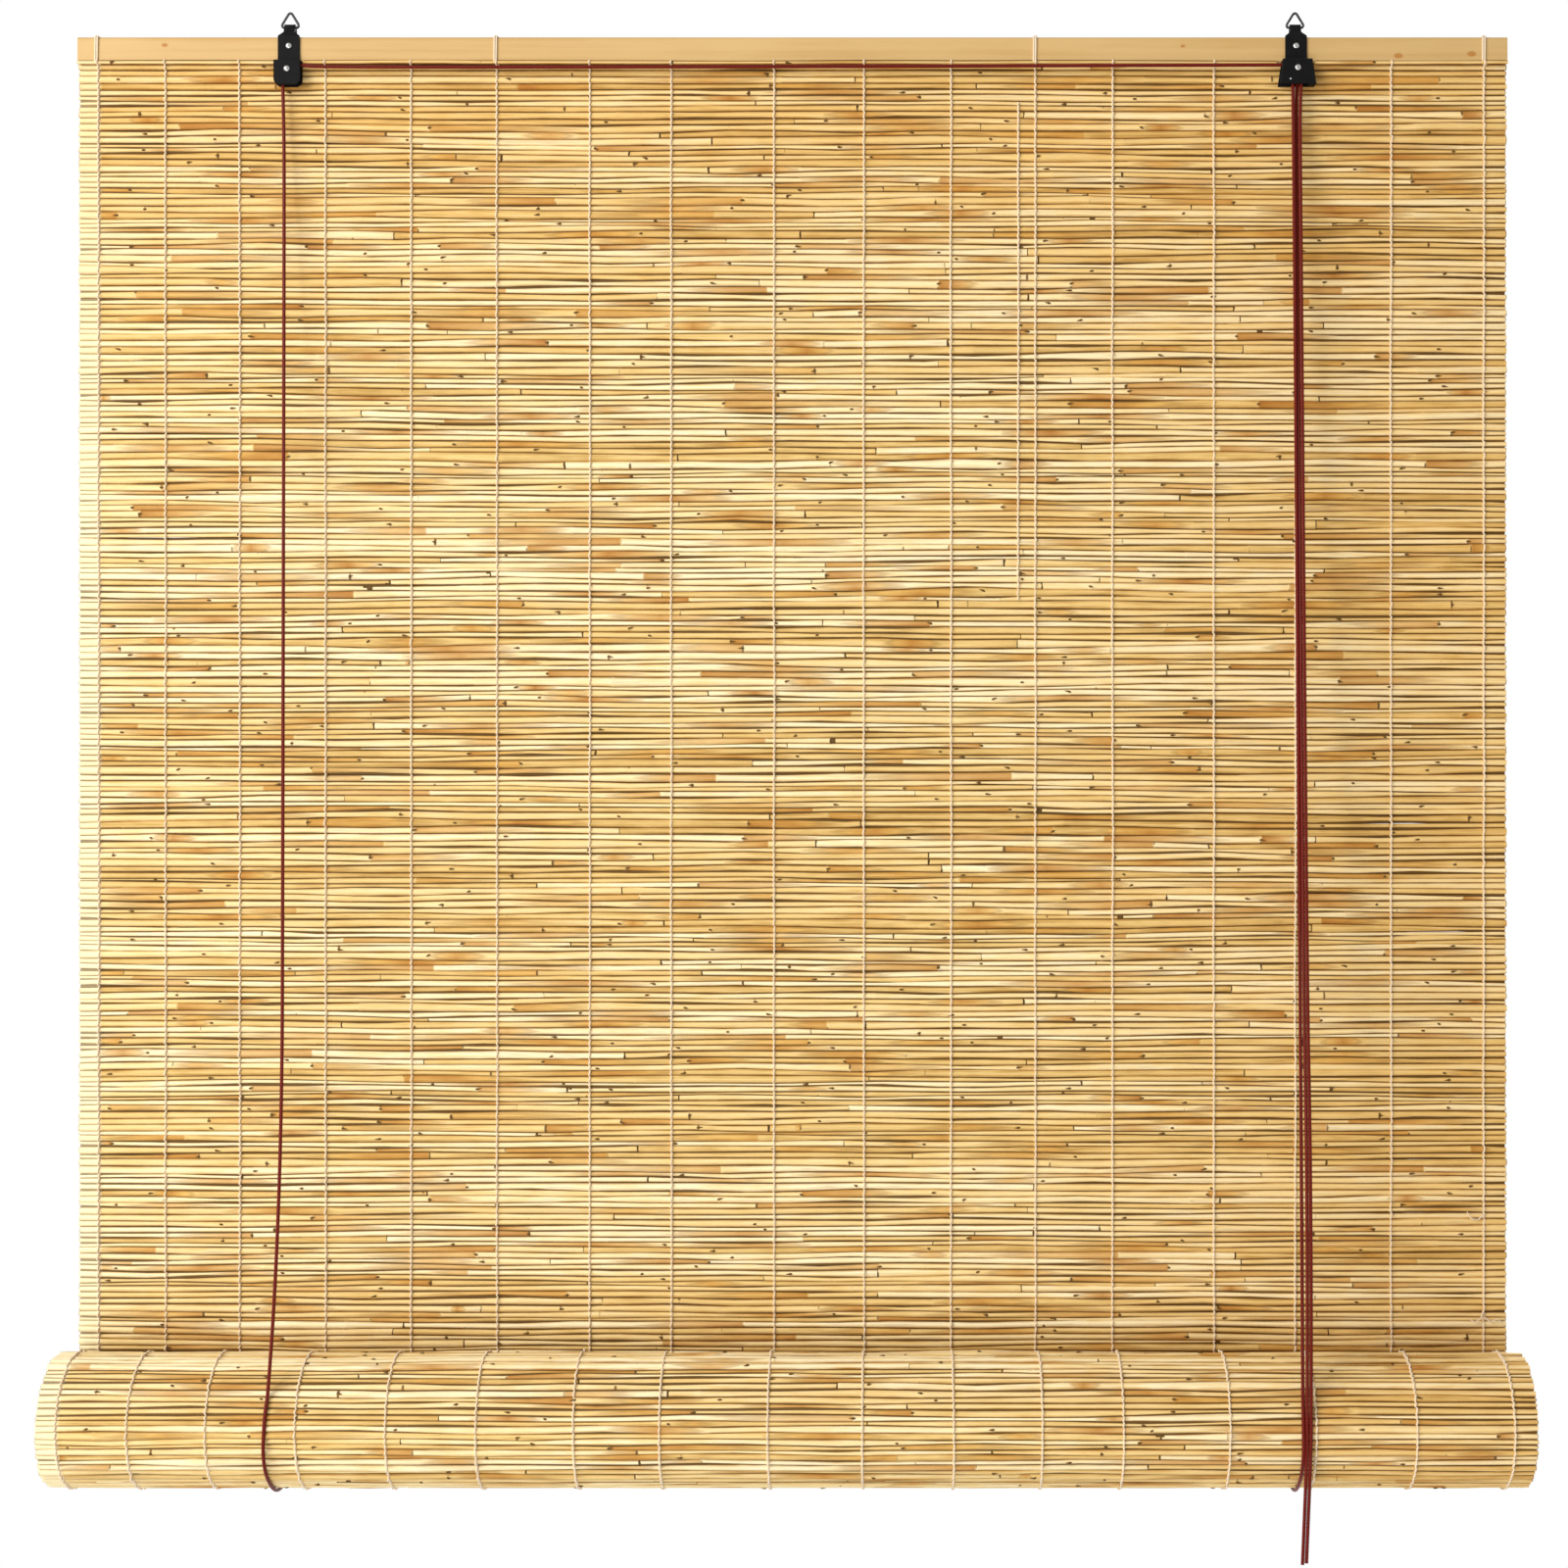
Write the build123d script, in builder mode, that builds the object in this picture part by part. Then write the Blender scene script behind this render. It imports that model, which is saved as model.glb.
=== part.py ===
# Reed roll-up blind, hung by two wire rings and held half way down by its lift cords.
# Millimetres. X runs along the blind, Y away from the viewer, Z up.
# The origin lies midway between the two points where the rings hang on their hooks.
import os
from math import asin, atan2, cos, degrees, hypot, pi, radians, sin, sqrt, tan

from build123d import *

os.makedirs("parts", exist_ok=True)

# Reed mat
mat_width = 1000.0
mat_thickness = 3.6
reed_pitch = 4.8
reed_valley = 1.1
panel_reeds = 195
gap_height = 0.5
gap_length_share = 0.62
gaps_per_bay = 1
gap_step = 7
gap_start = 11

# Warp twine
twine_width = 1.2
twine_depth = 0.7
twine_shares = (
    -0.486, -0.439, -0.387, -0.327, -0.267, -0.207, -0.142, -0.085, -0.013,
    0.050, 0.111, 0.170, 0.224, 0.295, 0.352, 0.419, 0.484,
)
tie_count = 4
tie_depth = 0.9
tie_width = 1.6
tie_clearance = 0.05

# Roll
roll_radius = 46.0
roll_turn_gap = 1.2
batten_seat_gap = 0.3

# Battens
batten_height = 18.0
batten_thickness = 8.0
batten_edge = 1.2
hook_to_batten = 16.6

# Hanging rings
hanger_spacing = 704.0
ring_wire = 1.8
ring_side = 13.7
ring_corner = 2.2
wire_sides = 8

# Hanger straps
strap_thickness = 1.2
strap_width = 15.2
strap_neck = 7.8
strap_corner = 3.0
strap_tail = 11.5
eye_clearance = 0.15
plate_corner = 4.5

# Rivets
rivet_radius = 1.2
rivet_head_radius = 2.3
rivet_head_height = 1.1
rivet_clearance = 0.05
strap_rivet_drop = 6.6

# Pulleys and their housings
pulley_drop = 6.0
groove_radius = 1.9
flange_thickness = 0.7
pulley_clearance = 0.2
axle_clearance = 0.05
housing_wall = 1.0
housing_rise = 0.4
housing_height = 17.6
housing_edge = 0.5
left_housing_width = 18.8

# Cord lock
lock_roller_radius = 2.7
lock_roller_drop = 2.8
lock_flare_share = 0.148
lock_lip = 4.0

# Cords
cord_radius = 1.2
cord_gap = 0.3
cord_joint_gap = 0.1
cord_lead = 20.0
tail_lead = 6.0
cord_bend_share = 0.45
cord_sides = 6
left_sling_inset = 4.5
right_sling_inset = 9.0
pull_1_inset = 6.4
pull_2_inset = 3.8
knot_radius = 2.4
knot_height = 5.2
knot_edge = 0.9
tail_drop = 85.4
pull_tail_1_shares = ((-0.0035, 0.309), (-0.0117, 0.660), (-0.0164, 1.000))
pull_tail_2_shares = ((-0.0023, 0.297), (-0.0105, 0.649), (-0.0164, 0.988))

# One overrun serves every cut
overrun = 5.0

# Heights that the pieces share
hook_side = hanger_spacing / 2
batten_top = -hook_to_batten
batten_bottom = batten_top - batten_height
panel_top = batten_bottom - tie_depth - 2 * tie_clearance
panel_drop = panel_reeds * reed_pitch
roll_z = panel_top - panel_drop
roll_y = mat_thickness / 2 - roll_radius
ring_rise = (ring_side - ring_corner) * sqrt(3) / 2
eye_z = ring_wire / 2 - ring_rise
strap_rivet_z = batten_top - strap_rivet_drop
pulley_z = batten_bottom - pulley_drop
housing_top = batten_bottom + housing_rise
housing_bottom = housing_top - housing_height

# Depths of the strap, the wheels and the covers in front of the batten
strap_back = -batten_thickness / 2
strap_front = strap_back - strap_thickness
cord_pitch = 2 * cord_radius + cord_gap
wheel_back = strap_front - pulley_clearance
rear_groove_y = wheel_back - flange_thickness - cord_pitch / 2
front_groove_y = rear_groove_y - cord_pitch
left_cover_back = wheel_back - cord_pitch - 2 * flange_thickness - pulley_clearance
right_cover_back = left_cover_back - cord_pitch
left_cover_front = left_cover_back - housing_wall
right_cover_front = right_cover_back - housing_wall
flange_radius = groove_radius + cord_gap + 2 * cord_radius
wheel_cord_radius = groove_radius + cord_gap + cord_radius
wheel_bore = rivet_radius + axle_clearance
rivet_hole = rivet_radius + rivet_clearance

# The lock's side wall leans so that the roller wedges between it and the cords
lock_lean = 1 / cos(atan2(lock_flare_share, 1))
lock_roller_x = hook_side + flange_radius + cord_gap + lock_roller_radius
lock_roller_z = pulley_z - lock_roller_drop
lock_reach = lock_roller_x - hook_side
lock_half = lock_reach + (lock_roller_radius + cord_gap + housing_wall) * lock_lean
lock_half_top = lock_half - lock_flare_share * (housing_top - lock_roller_z)
lock_half_bottom = lock_half_top + lock_flare_share * housing_height

# The slings run round the roll with a cord gap between
sling_radius = roll_radius + cord_gap + cord_radius
cord_front_y = roll_y - sling_radius
cord_back_y = roll_y + sling_radius
lead_z = housing_bottom - cord_lead
left_sling_x = left_sling_inset - hook_side
right_sling_x = hook_side - right_sling_inset
pull_1_x = hook_side - pull_1_inset
pull_2_x = hook_side - pull_2_inset


def finish(piece, name):
    """Label a finished piece and write it as a STEP file."""
    piece.part.label = name
    export_step(piece.part, f"parts/{name}.step")


def side_plane(x):
    """A plane across the blind, drawn in Y and Z."""
    return Plane.YZ.offset(x)


def front_plane(x, y):
    """A plane along the blind, drawn in X and Z from a point x, with its normal to the front."""
    return Plane(origin=(x, y, 0), x_dir=(1, 0, 0), z_dir=(0, -1, 0))


def chamfered_bar(width, height, edge):
    """Section of a bar with its corners taken off."""
    with BuildSketch() as section:
        Rectangle(width, height)
        chamfer(section.vertices(), edge)
    return section.sketch


# Wooden lath at the head
with BuildPart() as head_batten:
    with BuildSketch(side_plane(0)):
        with Locations((0, batten_top - batten_height / 2)):
            add(chamfered_bar(batten_thickness, batten_height, batten_edge))
    extrude(amount=mat_width / 2, both=True)
    with BuildSketch(front_plane(0, 0)):
        with Locations((-hook_side, strap_rivet_z), (hook_side, strap_rivet_z)):
            Circle(rivet_hole)
    extrude(amount=batten_thickness, both=True, mode=Mode.SUBTRACT)
finish(head_batten, "head_batten")

# Lath of the same stock at the foot of the mat, lying in the innermost turn of the roll.
# The roll has as many turns as leave room for it.
turn_pitch = mat_thickness + roll_turn_gap
core_radius = hypot(batten_height / 2, batten_thickness / 2) + batten_seat_gap
roll_turns = int((roll_radius - mat_thickness - core_radius) // turn_pitch)
inner_radius = roll_radius - roll_turns * turn_pitch - mat_thickness
foot_drop = sqrt((inner_radius - batten_seat_gap) ** 2 - (batten_height / 2) ** 2)
foot_z = roll_z - foot_drop - batten_edge + batten_thickness / 2
with BuildPart() as bottom_batten:
    with BuildSketch(side_plane(0)):
        with Locations((roll_y, foot_z)):
            add(chamfered_bar(batten_height, batten_thickness, batten_edge))
    extrude(amount=mat_width / 2, both=True)
finish(bottom_batten, "bottom_batten")

# Hanging part of the mat: one ridge for each reed on both faces, with gaps where reeds part
valley_y = mat_thickness / 2 - reed_valley
crest_y = mat_thickness / 2
rear_line = [(valley_y, panel_top)]
for reed in range(panel_reeds):
    reed_top = panel_top - reed * reed_pitch
    rear_line.append((crest_y, reed_top - reed_pitch / 2))
    rear_line.append((valley_y, reed_top - reed_pitch))
front_line = [(-y, z) for y, z in reversed(rear_line)]
twine_places = [share * mat_width for share in twine_shares]


def gap_valley(bay, gap):
    """Number of the valley between reeds where a gap of one bay lies, scattered over the panel."""
    spread = gap * panel_reeds // gaps_per_bay
    return (spread + gap_step * bay * bay + gap_start) % (panel_reeds - 1) + 1


with BuildPart() as mat_panel:
    with BuildSketch(side_plane(0)):
        with BuildLine():
            Polyline(*rear_line, *front_line, close=True)
        make_face()
    extrude(amount=mat_width / 2, both=True)
    with BuildSketch(front_plane(0, 0)):
        for bay, (left, right) in enumerate(zip(twine_places, twine_places[1:])):
            for gap in range(gaps_per_bay):
                with Locations(((left + right) / 2, panel_top - gap_valley(bay, gap) * reed_pitch)):
                    Rectangle((right - left) * gap_length_share, gap_height)
    extrude(amount=mat_thickness, both=True, mode=Mode.SUBTRACT)
finish(mat_panel, "mat_panel")

# Warp twines down both faces of the panel
twine_y = (mat_thickness + twine_depth) / 2
with BuildPart() as mat_twine:
    for y in (-twine_y, twine_y):
        with Locations(*[(x, y, panel_top - panel_drop / 2) for x in twine_places]):
            Box(twine_width, twine_depth, panel_drop)
finish(mat_twine, "mat_twine")

# Twine ties round the head batten
tie_inside = chamfered_bar(
    batten_thickness + 2 * tie_clearance, batten_height + 2 * tie_clearance, batten_edge
)
tie_outside = chamfered_bar(
    batten_thickness + 2 * (tie_clearance + tie_depth),
    batten_height + 2 * (tie_clearance + tie_depth),
    batten_edge + tie_depth / 2,
)
with BuildPart() as batten_ties:
    for tie in range(tie_count):
        tied_twine = round(tie * (len(twine_places) - 1) / (tie_count - 1))
        with BuildSketch(side_plane(twine_places[tied_twine])):
            with Locations((0, batten_top - batten_height / 2)):
                add(tie_outside)
                add(tie_inside, mode=Mode.SUBTRACT)
        extrude(amount=tie_width / 2, both=True)
finish(batten_ties, "batten_ties")

# Rolled part of the mat: a two-centre spiral of half turns, ridged on its outermost turn.
# Lower halves share the roll's axis, and upper halves are centred half a turn's pitch in front.
half_turns = 2 * roll_turns + 1


def half_turn(step, inset):
    """Centre, radius and end angles in degrees of one half turn of the spiral, inset from its outside."""
    radius = roll_radius - step * turn_pitch / 2 - inset
    if step % 2 == 0:
        return (roll_y, roll_z), radius, 0, -180
    return (roll_y - turn_pitch / 2, roll_z), radius, 180, 0


def ring_point(centre, radius, angle):
    """Point of a circle in Y and Z at an angle in degrees."""
    return (centre[0] + radius * cos(radians(angle)), centre[1] + radius * sin(radians(angle)))


ridge_line = []
for step in (0, 1):
    centre, radius, start, end = half_turn(step, 0)
    reeds = round(pi * radius / reed_pitch)
    for reed in range(reeds):
        for share, depth in ((0, reed_valley), (0.5, 0)):
            angle = start + (end - start) * (reed + share) / reeds
            ridge_line.append(ring_point(centre, radius - depth, angle))
centre, radius, start, end = half_turn(1, 0)
ridge_line.append(ring_point(centre, radius - reed_valley, end))
with BuildPart() as mat_roll:
    with BuildSketch(side_plane(0)):
        with BuildLine():
            Polyline(*ridge_line)
            centre, radius, start, end = half_turn(2, 0)
            Line(ridge_line[-1], ring_point(centre, radius, start))
            for step in range(2, half_turns):
                centre, radius, start, end = half_turn(step, 0)
                CenterArc(centre, radius, start, end - start)
            for step in reversed(range(half_turns)):
                centre, radius, start, end = half_turn(step, mat_thickness)
                CenterArc(centre, radius, start, end - start)
            centre, radius, start, end = half_turn(0, mat_thickness)
            Line(ridge_line[0], ring_point(centre, radius, start))
            centre, radius, start, end = half_turn(half_turns - 1, 0)
            Line(ring_point(centre, radius, end), ring_point(centre, radius - mat_thickness, end))
        make_face()
    extrude(amount=mat_width / 2, both=True)
finish(mat_roll, "mat_roll")


def hanging_ring(x):
    """Closed wire triangle with its corners cut short, its base bar in the strap's eye."""
    corner_rise = ring_corner * sqrt(3) / 2
    side_line = [
        (ring_side / 2 - ring_corner, eye_z),
        (ring_side / 2 - ring_corner / 2, eye_z + corner_rise),
        (ring_corner / 2, eye_z + ring_rise),
    ]
    mirrored = [(-across, z) for across, z in reversed(side_line)]
    with BuildPart() as ring:
        with BuildLine(front_plane(x, 0)) as wire_line:
            Polyline((0, eye_z), *side_line, *mirrored, close=True)
        with BuildSketch(side_plane(x)):
            with Locations((0, eye_z)):
                RegularPolygon(ring_wire / 2, wire_sides, major_radius=False, rotation=180 / wire_sides)
        sweep(path=wire_line.line, transition=Transition.RIGHT)
    return ring


def left_plate_outline(x):
    """Face of the left pulley plate: square above, with rounded lower corners."""
    with BuildSketch(Plane.XY) as outline:
        with Locations((x, housing_bottom + housing_height / 2)):
            Rectangle(left_housing_width, housing_height)
        fillet(outline.vertices().group_by(Axis.Y)[0], plate_corner)
    return outline.sketch


def right_plate_outline(x):
    """Face of the lock plate: flared towards its lower edge."""
    with BuildSketch(Plane.XY) as outline:
        with BuildLine():
            Polyline(
                (x - lock_half_top, housing_top),
                (x + lock_half_top, housing_top),
                (x + lock_half_bottom, housing_bottom),
                (x - lock_half_bottom, housing_bottom),
                close=True,
            )
        make_face()
    return outline.sketch


def hanger_strap(x, plate_outline):
    """Steel strap folded over the ring's base bar, one leg each side of the batten.

    The front leg widens below the batten into the plate that carries the pulley.
    The rear leg ends in an eye for the lift cord's knot."""
    eye_in = ring_wire / 2 + eye_clearance
    eye_out = eye_in + strap_thickness
    leg_in = batten_thickness / 2
    leg_out = leg_in + strap_thickness
    shoulder_z = batten_top + strap_thickness / 2
    tail_z = batten_bottom - strap_tail
    with BuildPart() as strap:
        with BuildSketch(side_plane(x)):
            with BuildLine():
                Polyline((eye_out, eye_z), (leg_out, shoulder_z), (leg_out, tail_z), (leg_in, tail_z))
                Polyline((leg_in, tail_z), (leg_in, shoulder_z), (eye_in, eye_z))
                CenterArc((0, eye_z), eye_in, 0, 180)
                Polyline((-eye_in, eye_z), (-leg_in, shoulder_z), (-leg_in, pulley_z))
                Polyline((-leg_in, pulley_z), (-leg_out, pulley_z), (-leg_out, shoulder_z), (-eye_out, eye_z))
                CenterArc((0, eye_z), eye_out, 0, 180)
            make_face()
        extrude(amount=strap_width / 2, both=True)
        neck_half = strap_neck / 2
        strap_half = strap_width / 2
        side_line = [
            (neck_half, eye_z + eye_out),
            (neck_half, shoulder_z + strap_corner),
            (strap_half, shoulder_z),
            (strap_half, tail_z + strap_corner),
            (strap_half - strap_corner, tail_z),
        ]
        with BuildSketch(front_plane(x, 0)):
            with BuildLine():
                Polyline(*side_line, *[(-across, z) for across, z in reversed(side_line)], close=True)
            make_face()
        extrude(amount=leg_out, both=True, mode=Mode.INTERSECT)
        with BuildSketch(front_plane(0, strap_back)):
            add(plate_outline(x))
        extrude(amount=strap_thickness)
        with BuildSketch(front_plane(x, 0)):
            with Locations((0, strap_rivet_z), (0, pulley_z)):
                Circle(rivet_hole)
        extrude(amount=leg_out + overrun, both=True, mode=Mode.SUBTRACT)
    return strap


def rivet(x, z, front_y, back_y):
    """Flat-headed rivet along Y, its shank ending flush behind."""
    with BuildPart() as solid:
        with BuildSketch(Plane(origin=(x, 0, z), x_dir=(1, 0, 0), z_dir=(0, 0, 1))):
            with BuildLine():
                Polyline(
                    (0, front_y - rivet_head_height),
                    (rivet_head_radius, front_y - rivet_head_height),
                    (rivet_head_radius, front_y),
                    (rivet_radius, front_y),
                    (rivet_radius, back_y),
                    (0, back_y),
                    close=True,
                )
            make_face()
        revolve(axis=Axis((x, 0, z), (0, 1, 0)))
    return solid


# Rivets through strap and batten
with BuildPart() as strap_rivets:
    for x in (-hook_side, hook_side):
        add(rivet(x, strap_rivet_z, strap_front, -strap_front))
finish(strap_rivets, "strap_rivets")

# Rivets that close the pulley housings and carry the wheels
with BuildPart() as pulley_rivets:
    add(rivet(-hook_side, pulley_z, left_cover_front, strap_back))
    add(rivet(hook_side, pulley_z, right_cover_front, strap_back))
finish(pulley_rivets, "pulley_rivets")

left_strap = hanger_strap(-hook_side, left_plate_outline)
finish(left_strap, "left_hanger_strap")
right_strap = hanger_strap(hook_side, right_plate_outline)
finish(right_strap, "right_hanger_strap")
left_ring = hanging_ring(-hook_side)
finish(left_ring, "left_ring")
right_ring = hanging_ring(hook_side)
finish(right_ring, "right_ring")

# Pressed cover over the left wheel, open below and towards the other bracket
with BuildPart() as left_housing:
    with BuildSketch(front_plane(0, strap_front)):
        add(left_plate_outline(-hook_side))
    extrude(amount=strap_front - left_cover_front)
    chamfer(left_housing.faces().sort_by(Axis.Y)[0].edges(), housing_edge)
    with BuildSketch(front_plane(-hook_side, strap_front)):
        inside_left = -left_housing_width / 2 + housing_wall
        inside_right = left_housing_width / 2 + overrun
        with Locations(((inside_left + inside_right) / 2, housing_top - housing_wall)):
            Rectangle(inside_right - inside_left, housing_height, align=(Align.CENTER, Align.MAX))
    extrude(amount=strap_front - left_cover_back, mode=Mode.SUBTRACT)
    with BuildSketch(front_plane(-hook_side, strap_front)):
        with Locations((0, pulley_z)):
            Circle(rivet_hole)
    extrude(amount=strap_front - left_cover_front + overrun, mode=Mode.SUBTRACT)
finish(left_housing, "left_pulley_housing")

# Pressed cover of the cord lock, with a leaning side wall and a lip under the roller
with BuildPart() as right_housing:
    with BuildSketch(front_plane(0, strap_front)):
        add(right_plate_outline(hook_side))
    extrude(amount=strap_front - right_cover_front)
    chamfer(right_housing.faces().sort_by(Axis.Y)[0].edges(), housing_edge)
    with BuildSketch(front_plane(hook_side, strap_front)):
        wall_top = lock_half_top - housing_wall * lock_lean + lock_flare_share * housing_wall
        wall_bottom = lock_half_bottom - housing_wall * lock_lean - lock_flare_share * housing_wall
        with BuildLine():
            Polyline(
                (-lock_half_bottom - overrun, housing_top - housing_wall),
                (wall_top, housing_top - housing_wall),
                (wall_bottom, housing_bottom + housing_wall),
                (wall_bottom - lock_lip, housing_bottom + housing_wall),
                (wall_bottom - lock_lip, housing_bottom - overrun),
                (-lock_half_bottom - overrun, housing_bottom - overrun),
                close=True,
            )
        make_face()
    extrude(amount=strap_front - right_cover_back, mode=Mode.SUBTRACT)
    with BuildSketch(front_plane(hook_side, strap_front)):
        with Locations((0, pulley_z)):
            Circle(rivet_hole)
    extrude(amount=strap_front - right_cover_front + overrun, mode=Mode.SUBTRACT)
finish(right_housing, "right_lock_housing")


def pulley_wheel(x, cords):
    """Wheel turned about the rivet's axis, with one groove wide enough for its cords side by side."""
    floor_back = wheel_back - flange_thickness
    floor_front = floor_back - cords * cord_pitch
    wheel_front = floor_front - flange_thickness
    with BuildPart() as wheel:
        with BuildSketch(Plane(origin=(x, 0, pulley_z), x_dir=(1, 0, 0), z_dir=(0, 0, 1))):
            with BuildLine():
                Polyline(
                    (wheel_bore, wheel_back),
                    (flange_radius, wheel_back),
                    (flange_radius, floor_back),
                    (groove_radius, floor_back),
                    (groove_radius, floor_front),
                    (flange_radius, floor_front),
                    (flange_radius, wheel_front),
                    (wheel_bore, wheel_front),
                    close=True,
                )
            make_face()
        revolve(axis=Axis((x, 0, pulley_z), (0, 1, 0)))
    return wheel


left_wheel = pulley_wheel(-hook_side, 1)
finish(left_wheel, "left_pulley_wheel")
right_wheel = pulley_wheel(hook_side, 2)
finish(right_wheel, "right_pulley_wheel")

# Loose roller that wedges the pull cords in the lock
with BuildPart() as lock_roller:
    with BuildSketch(front_plane(lock_roller_x, wheel_back)):
        with Locations((0, lock_roller_z)):
            Circle(lock_roller_radius)
    extrude(amount=wheel_back - right_cover_back - pulley_clearance)
finish(lock_roller, "lock_roller")


def turn_radius(before, corner, after):
    """Radius of a cord's bend: a share of the shorter run over the tangent of half the turn."""
    run_in = Vector(*corner) - Vector(*before)
    run_out = Vector(*after) - Vector(*corner)
    shorter = min(run_in.length, run_out.length)
    return cord_bend_share * shorter / tan(radians(run_in.get_angle(run_out)) / 2)


def cord_tube(path):
    """Cord swept along a finished path with a many-sided section."""
    with BuildPart() as tube:
        with BuildSketch(Plane(origin=path @ 0, z_dir=path % 0)):
            RegularPolygon(cord_radius, cord_sides)
        sweep(path=path)
    return tube


def roll_touch(start):
    """Point in Y and Z where a straight cord from start meets the slings' circle in front of the roll."""
    away = hypot(start[0] - roll_y, start[1] - roll_z)
    lean = asin(sling_radius / away) + atan2(start[0] - roll_y, start[1] - roll_z)
    return (roll_y - sling_radius * cos(lean), roll_z + sling_radius * sin(lean)), lean


def stop_short(start, end, gap):
    """Point on the line from start to end that lies a gap before its end."""
    line = Vector(*end) - Vector(*start)
    return tuple(Vector(*end) - line.normalized() * gap)


def front_run(wheel_x, lead_x, groove_y, roll_x, start_gap, end_gap):
    """Corner points of a tight cord from a wheel's side down to the front of the roll."""
    touch, lean = roll_touch((groove_y, lead_z))
    lead = (lead_x, groove_y, lead_z)
    end = stop_short(lead, (roll_x, *touch), end_gap)
    return [(wheel_x, groove_y, pulley_z - start_gap), lead, end]


left_up_x = -hook_side - wheel_cord_radius
right_up_x = hook_side - wheel_cord_radius
right_down_x = hook_side + wheel_cord_radius
cord_radii = {}

# Front runs of the two lift cords
joint = 2 * cord_joint_gap
front_routes = {
    "left_front_cord": front_run(left_up_x, left_up_x, rear_groove_y, left_sling_x, joint, joint),
    "right_front_cord": front_run(right_up_x, right_up_x, front_groove_y, right_sling_x, joint, joint),
}
for name, route in front_routes.items():
    cord_radii[name] = [turn_radius(*route)]
    with BuildLine() as front_path:
        FilletPolyline(*route, radius=cord_radii[name])
    finish(cord_tube(front_path.line), name)

# Slings that carry the roll, from its front round below it to the back
sling_starts = ((left_sling_x, rear_groove_y), (right_sling_x, front_groove_y))
with BuildPart() as slings:
    for sling_x, groove_y in sling_starts:
        touch, lean = roll_touch((groove_y, lead_z))
        with BuildLine(side_plane(sling_x)) as sling_path:
            CenterArc((roll_y, roll_z), sling_radius, 180 - degrees(lean), 180 + degrees(lean))
        add(cord_tube(sling_path.line))
finish(slings, "lift_cord_slings")
cord_radii["lift_cord_slings"] = [sling_radius]

# Knots of the lift cords at the eyes in the straps' rear legs, and the runs behind the mat
knot_y = -strap_front + knot_radius
knot_z = pulley_z
with BuildPart() as cord_knots:
    with BuildSketch(Plane.XY.offset(knot_z)):
        with Locations((-hook_side, knot_y), (hook_side, knot_y)):
            RegularPolygon(knot_radius, cord_sides)
    extrude(amount=knot_height / 2, both=True)
    chamfer(cord_knots.edges().filter_by(Plane.XY), knot_edge)
finish(cord_knots, "cord_knots")

rear_starts = {"left_rear_cord": (left_sling_x, -hook_side), "right_rear_cord": (right_sling_x, hook_side)}
for name, (sling_x, knot_x) in rear_starts.items():
    low = (sling_x, cord_back_y, roll_z)
    high = (knot_x, knot_y, knot_z - knot_height / 2)
    with BuildLine() as rear_path:
        Line(stop_short(high, low, cord_joint_gap), stop_short(low, high, cord_joint_gap))
    finish(cord_tube(rear_path.line), name)

# Cord that crosses under the batten from the left wheel to the back of the right one
with BuildLine(front_plane(0, rear_groove_y)) as cross_path:
    CenterArc((-hook_side, pulley_z), wheel_cord_radius, 180, -90)
    Line((-hook_side, pulley_z + wheel_cord_radius), (hook_side, pulley_z + wheel_cord_radius))
    CenterArc((hook_side, pulley_z), wheel_cord_radius, 90, -90)
finish(cord_tube(cross_path.line), "cross_cord")
cord_radii["cross_cord"] = [wheel_cord_radius, wheel_cord_radius]

# Pull cords from the lock down to the front of the roll
pull_1_lead_x = right_down_x - cord_pitch
pull_1_route = front_run(right_down_x, pull_1_lead_x, rear_groove_y, pull_1_x, joint, tail_lead)
pull_2_route = front_run(right_down_x, right_down_x, front_groove_y, pull_2_x, 0, tail_lead)
cord_radii["pull_run_1"] = [turn_radius(*pull_1_route)]
cord_radii["pull_run_2"] = [turn_radius(*pull_2_route)]
with BuildLine() as pull_1_path:
    FilletPolyline(*pull_1_route, radius=cord_radii["pull_run_1"])
finish(cord_tube(pull_1_path.line), "pull_run_1")

# The right lift cord turns over the front of the wheel and comes down as the second pull cord
with BuildLine() as pull_2_path:
    FilletPolyline(*pull_2_route, radius=cord_radii["pull_run_2"])
with BuildLine(front_plane(0, front_groove_y)) as over_path:
    CenterArc((hook_side, pulley_z), wheel_cord_radius, 180, -180)
with BuildPart() as pull_run_2:
    add(cord_tube(pull_2_path.line))
    add(cord_tube(over_path.line))
finish(pull_run_2, "pull_run_2")

# Free tails of the pull cords, hanging in front of the roll to their cut ends
tail_routes = {
    "pull_tail_1": (pull_1_x, pull_1_route, pull_tail_1_shares),
    "pull_tail_2": (pull_2_x, pull_2_route, pull_tail_2_shares),
}
for name, (roll_x, route, shares) in tail_routes.items():
    touch, lean = roll_touch((route[1][1], lead_z))
    corner = (roll_x, cord_front_y, roll_z + sling_radius * tan(lean / 2))
    line = Vector(*corner) - Vector(*route[1])
    start = Vector(*route[2]) + line.normalized() * cord_joint_gap
    points = [tuple(start), corner]
    for across, down in shares:
        points.append((roll_x + across * tail_drop, cord_front_y, roll_z - down * tail_drop))
    radii = [sling_radius]
    for before, bend, after in zip(points[1:], points[2:], points[3:]):
        radii.append(turn_radius(before, bend, after))
    with BuildLine() as tail_path:
        FilletPolyline(*points, radius=radii)
    finish(cord_tube(tail_path.line), name)
    cord_radii[name] = radii

for name, radii in cord_radii.items():
    print(name, "bend radii, mm:", [round(radius, 1) for radius in radii])
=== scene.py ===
import random
from functools import cache
from math import cos, pi, radians, sin, tan, tau

import bmesh
import bpy
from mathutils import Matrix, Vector, noise


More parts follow.
